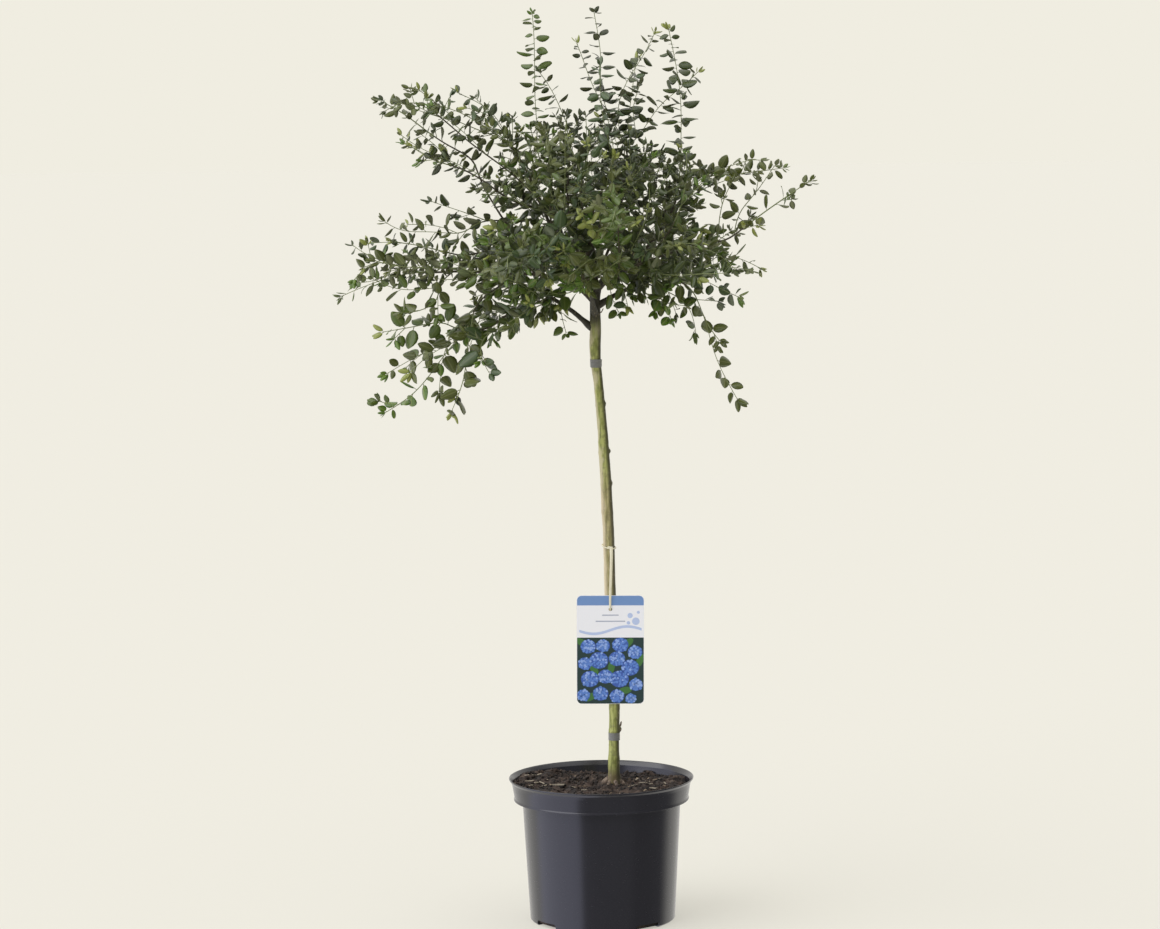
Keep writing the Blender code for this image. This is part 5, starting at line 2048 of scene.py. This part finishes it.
leaf_sets = {tint: [] for tint in TINTS}
leaf_rng = np.random.default_rng(LEAF_SEED)
for chain in chains:
    leaves_on(chain, leaf_rng, leaf_sets)
print("leaves:", {tint: len(found) for tint, found in leaf_sets.items()}, sum(map(len, leaf_sets.values())))

# %% Leaf pieces
# Upper side, under side and rib of each tint
LEAF_COLOURS = {
    "deep": ((0.030, 0.039, 0.009), (0.130, 0.142, 0.070), (0.060, 0.072, 0.020)),
    "dark": ((0.048, 0.068, 0.012), (0.155, 0.172, 0.082), (0.085, 0.105, 0.026)),
    "blue_green": ((0.058, 0.094, 0.028), (0.175, 0.206, 0.128), (0.100, 0.132, 0.052)),
    "olive": ((0.092, 0.112, 0.021), (0.205, 0.222, 0.110), (0.145, 0.160, 0.046)),
    "mid": ((0.084, 0.130, 0.016), (0.190, 0.226, 0.096), (0.125, 0.162, 0.034)),
    "fresh": ((0.098, 0.182, 0.018), (0.235, 0.290, 0.105), (0.195, 0.242, 0.052)),
    "tip": ((0.265, 0.305, 0.065), (0.320, 0.350, 0.140), (0.320, 0.335, 0.100)),
}
LEAF_SHINE = 0.50
LEAF_ROUGHNESS = (0.30, 0.60, 0.45)


def leaf_tree():
    """Puts a leaf form on every point, turned and sized by the values stored with it."""
    tree, start = geometry_tree("leaf_sprays", {
        "Forms": "Collection", "Upper": "Material", "Under": "Material", "Rib": "Material"})

    def stored(name, data_type):
        return start.node("GeometryNodeInputNamedAttribute", {"Name": name}, data_type=data_type)

    points = start.node("GeometryNodeMeshToPoints", {"Mesh": start})
    forms = start.node("GeometryNodeCollectionInfo", {
        "Collection": start.pick("Forms"), "Separate Children": True, "Reset Children": True})
    turn = start.node("FunctionNodeAxesToRotation", {
        "Primary Axis": stored("along", "FLOAT_VECTOR"), "Secondary Axis": stored("over", "FLOAT_VECTOR")},
        primary_axis="Y", secondary_axis="Z")
    length = stored("length", "FLOAT")
    size = start.node("ShaderNodeCombineXYZ", {"X": stored("width", "FLOAT"), "Y": length, "Z": length})
    placed = start.node("GeometryNodeInstanceOnPoints", {
        "Points": points, "Instance": forms, "Pick Instance": True, "Instance Index": stored("form", "INT"),
        "Rotation": turn, "Scale": size})
    real = start.node("GeometryNodeRealizeInstances", {"Geometry": placed})
    kind = stored("kind", "INT")
    for value, label in ((UPPER, "Upper"), (UNDER, "Under"), (RIB, "Rib")):
        chosen = start.node("FunctionNodeCompare", {2: kind, 3: value}, data_type="INT", operation="EQUAL")
        real = start.node("GeometryNodeSetMaterial", {
            "Geometry": real, "Selection": chosen, "Material": start.pick(label)})
    start.node("NodeGroupOutput", {"Geometry": real})
    return tree


def leaf_points(name, found):
    """A mesh of loose points with each leaf's values stored on it."""
    mesh = bpy.data.meshes.new(name)
    mesh.from_pydata([leaf[0].tolist() for leaf in found], [], [])
    columns = (("along", "FLOAT_VECTOR", "vector", 1), ("over", "FLOAT_VECTOR", "vector", 2),
               ("length", "FLOAT", "value", 3), ("width", "FLOAT", "value", 4), ("form", "INT", "value", 5))
    for label, kind, field, column in columns:
        values = np.array([leaf[column] for leaf in found]).ravel()
        mesh.attributes.new(label, kind, "POINT").data.foreach_set(field, values)
    return add_object(name, mesh)


def masses_of(found):
    """The masses of the frame that these leaves stand for, each leaf in the nearest one."""
    owners = set()
    for leaf in found:
        nearest = [(mass_trees[name].find_nearest(Vector(leaf[0]))[3], name) for name in MASSES]
        owners.add(min(nearest)[1])
    return sorted(owners)


leaf_sprays = leaf_tree()
covered = set()
for tint, found in leaf_sets.items():
    piece = leaf_points("leaves_" + tint, found)
    sides = {}
    for part, colour, rough in zip(("Upper", "Under", "Rib"), LEAF_COLOURS[tint], LEAF_ROUGHNESS):
        sockets = {"Base Color": colour, "Roughness": rough, "Specular IOR Level": LEAF_SHINE}
        sides[part] = finish(f"leaf_{tint}_{part.lower()}", sockets)
    run_tree(piece, leaf_sprays, {"Forms": leaf_group, **sides})
    owners = masses_of(found)
    covered.update(owners)
    fasten(piece, "leaves", *owners)
print("masses with no leaf:", sorted(set(MASSES) - covered))
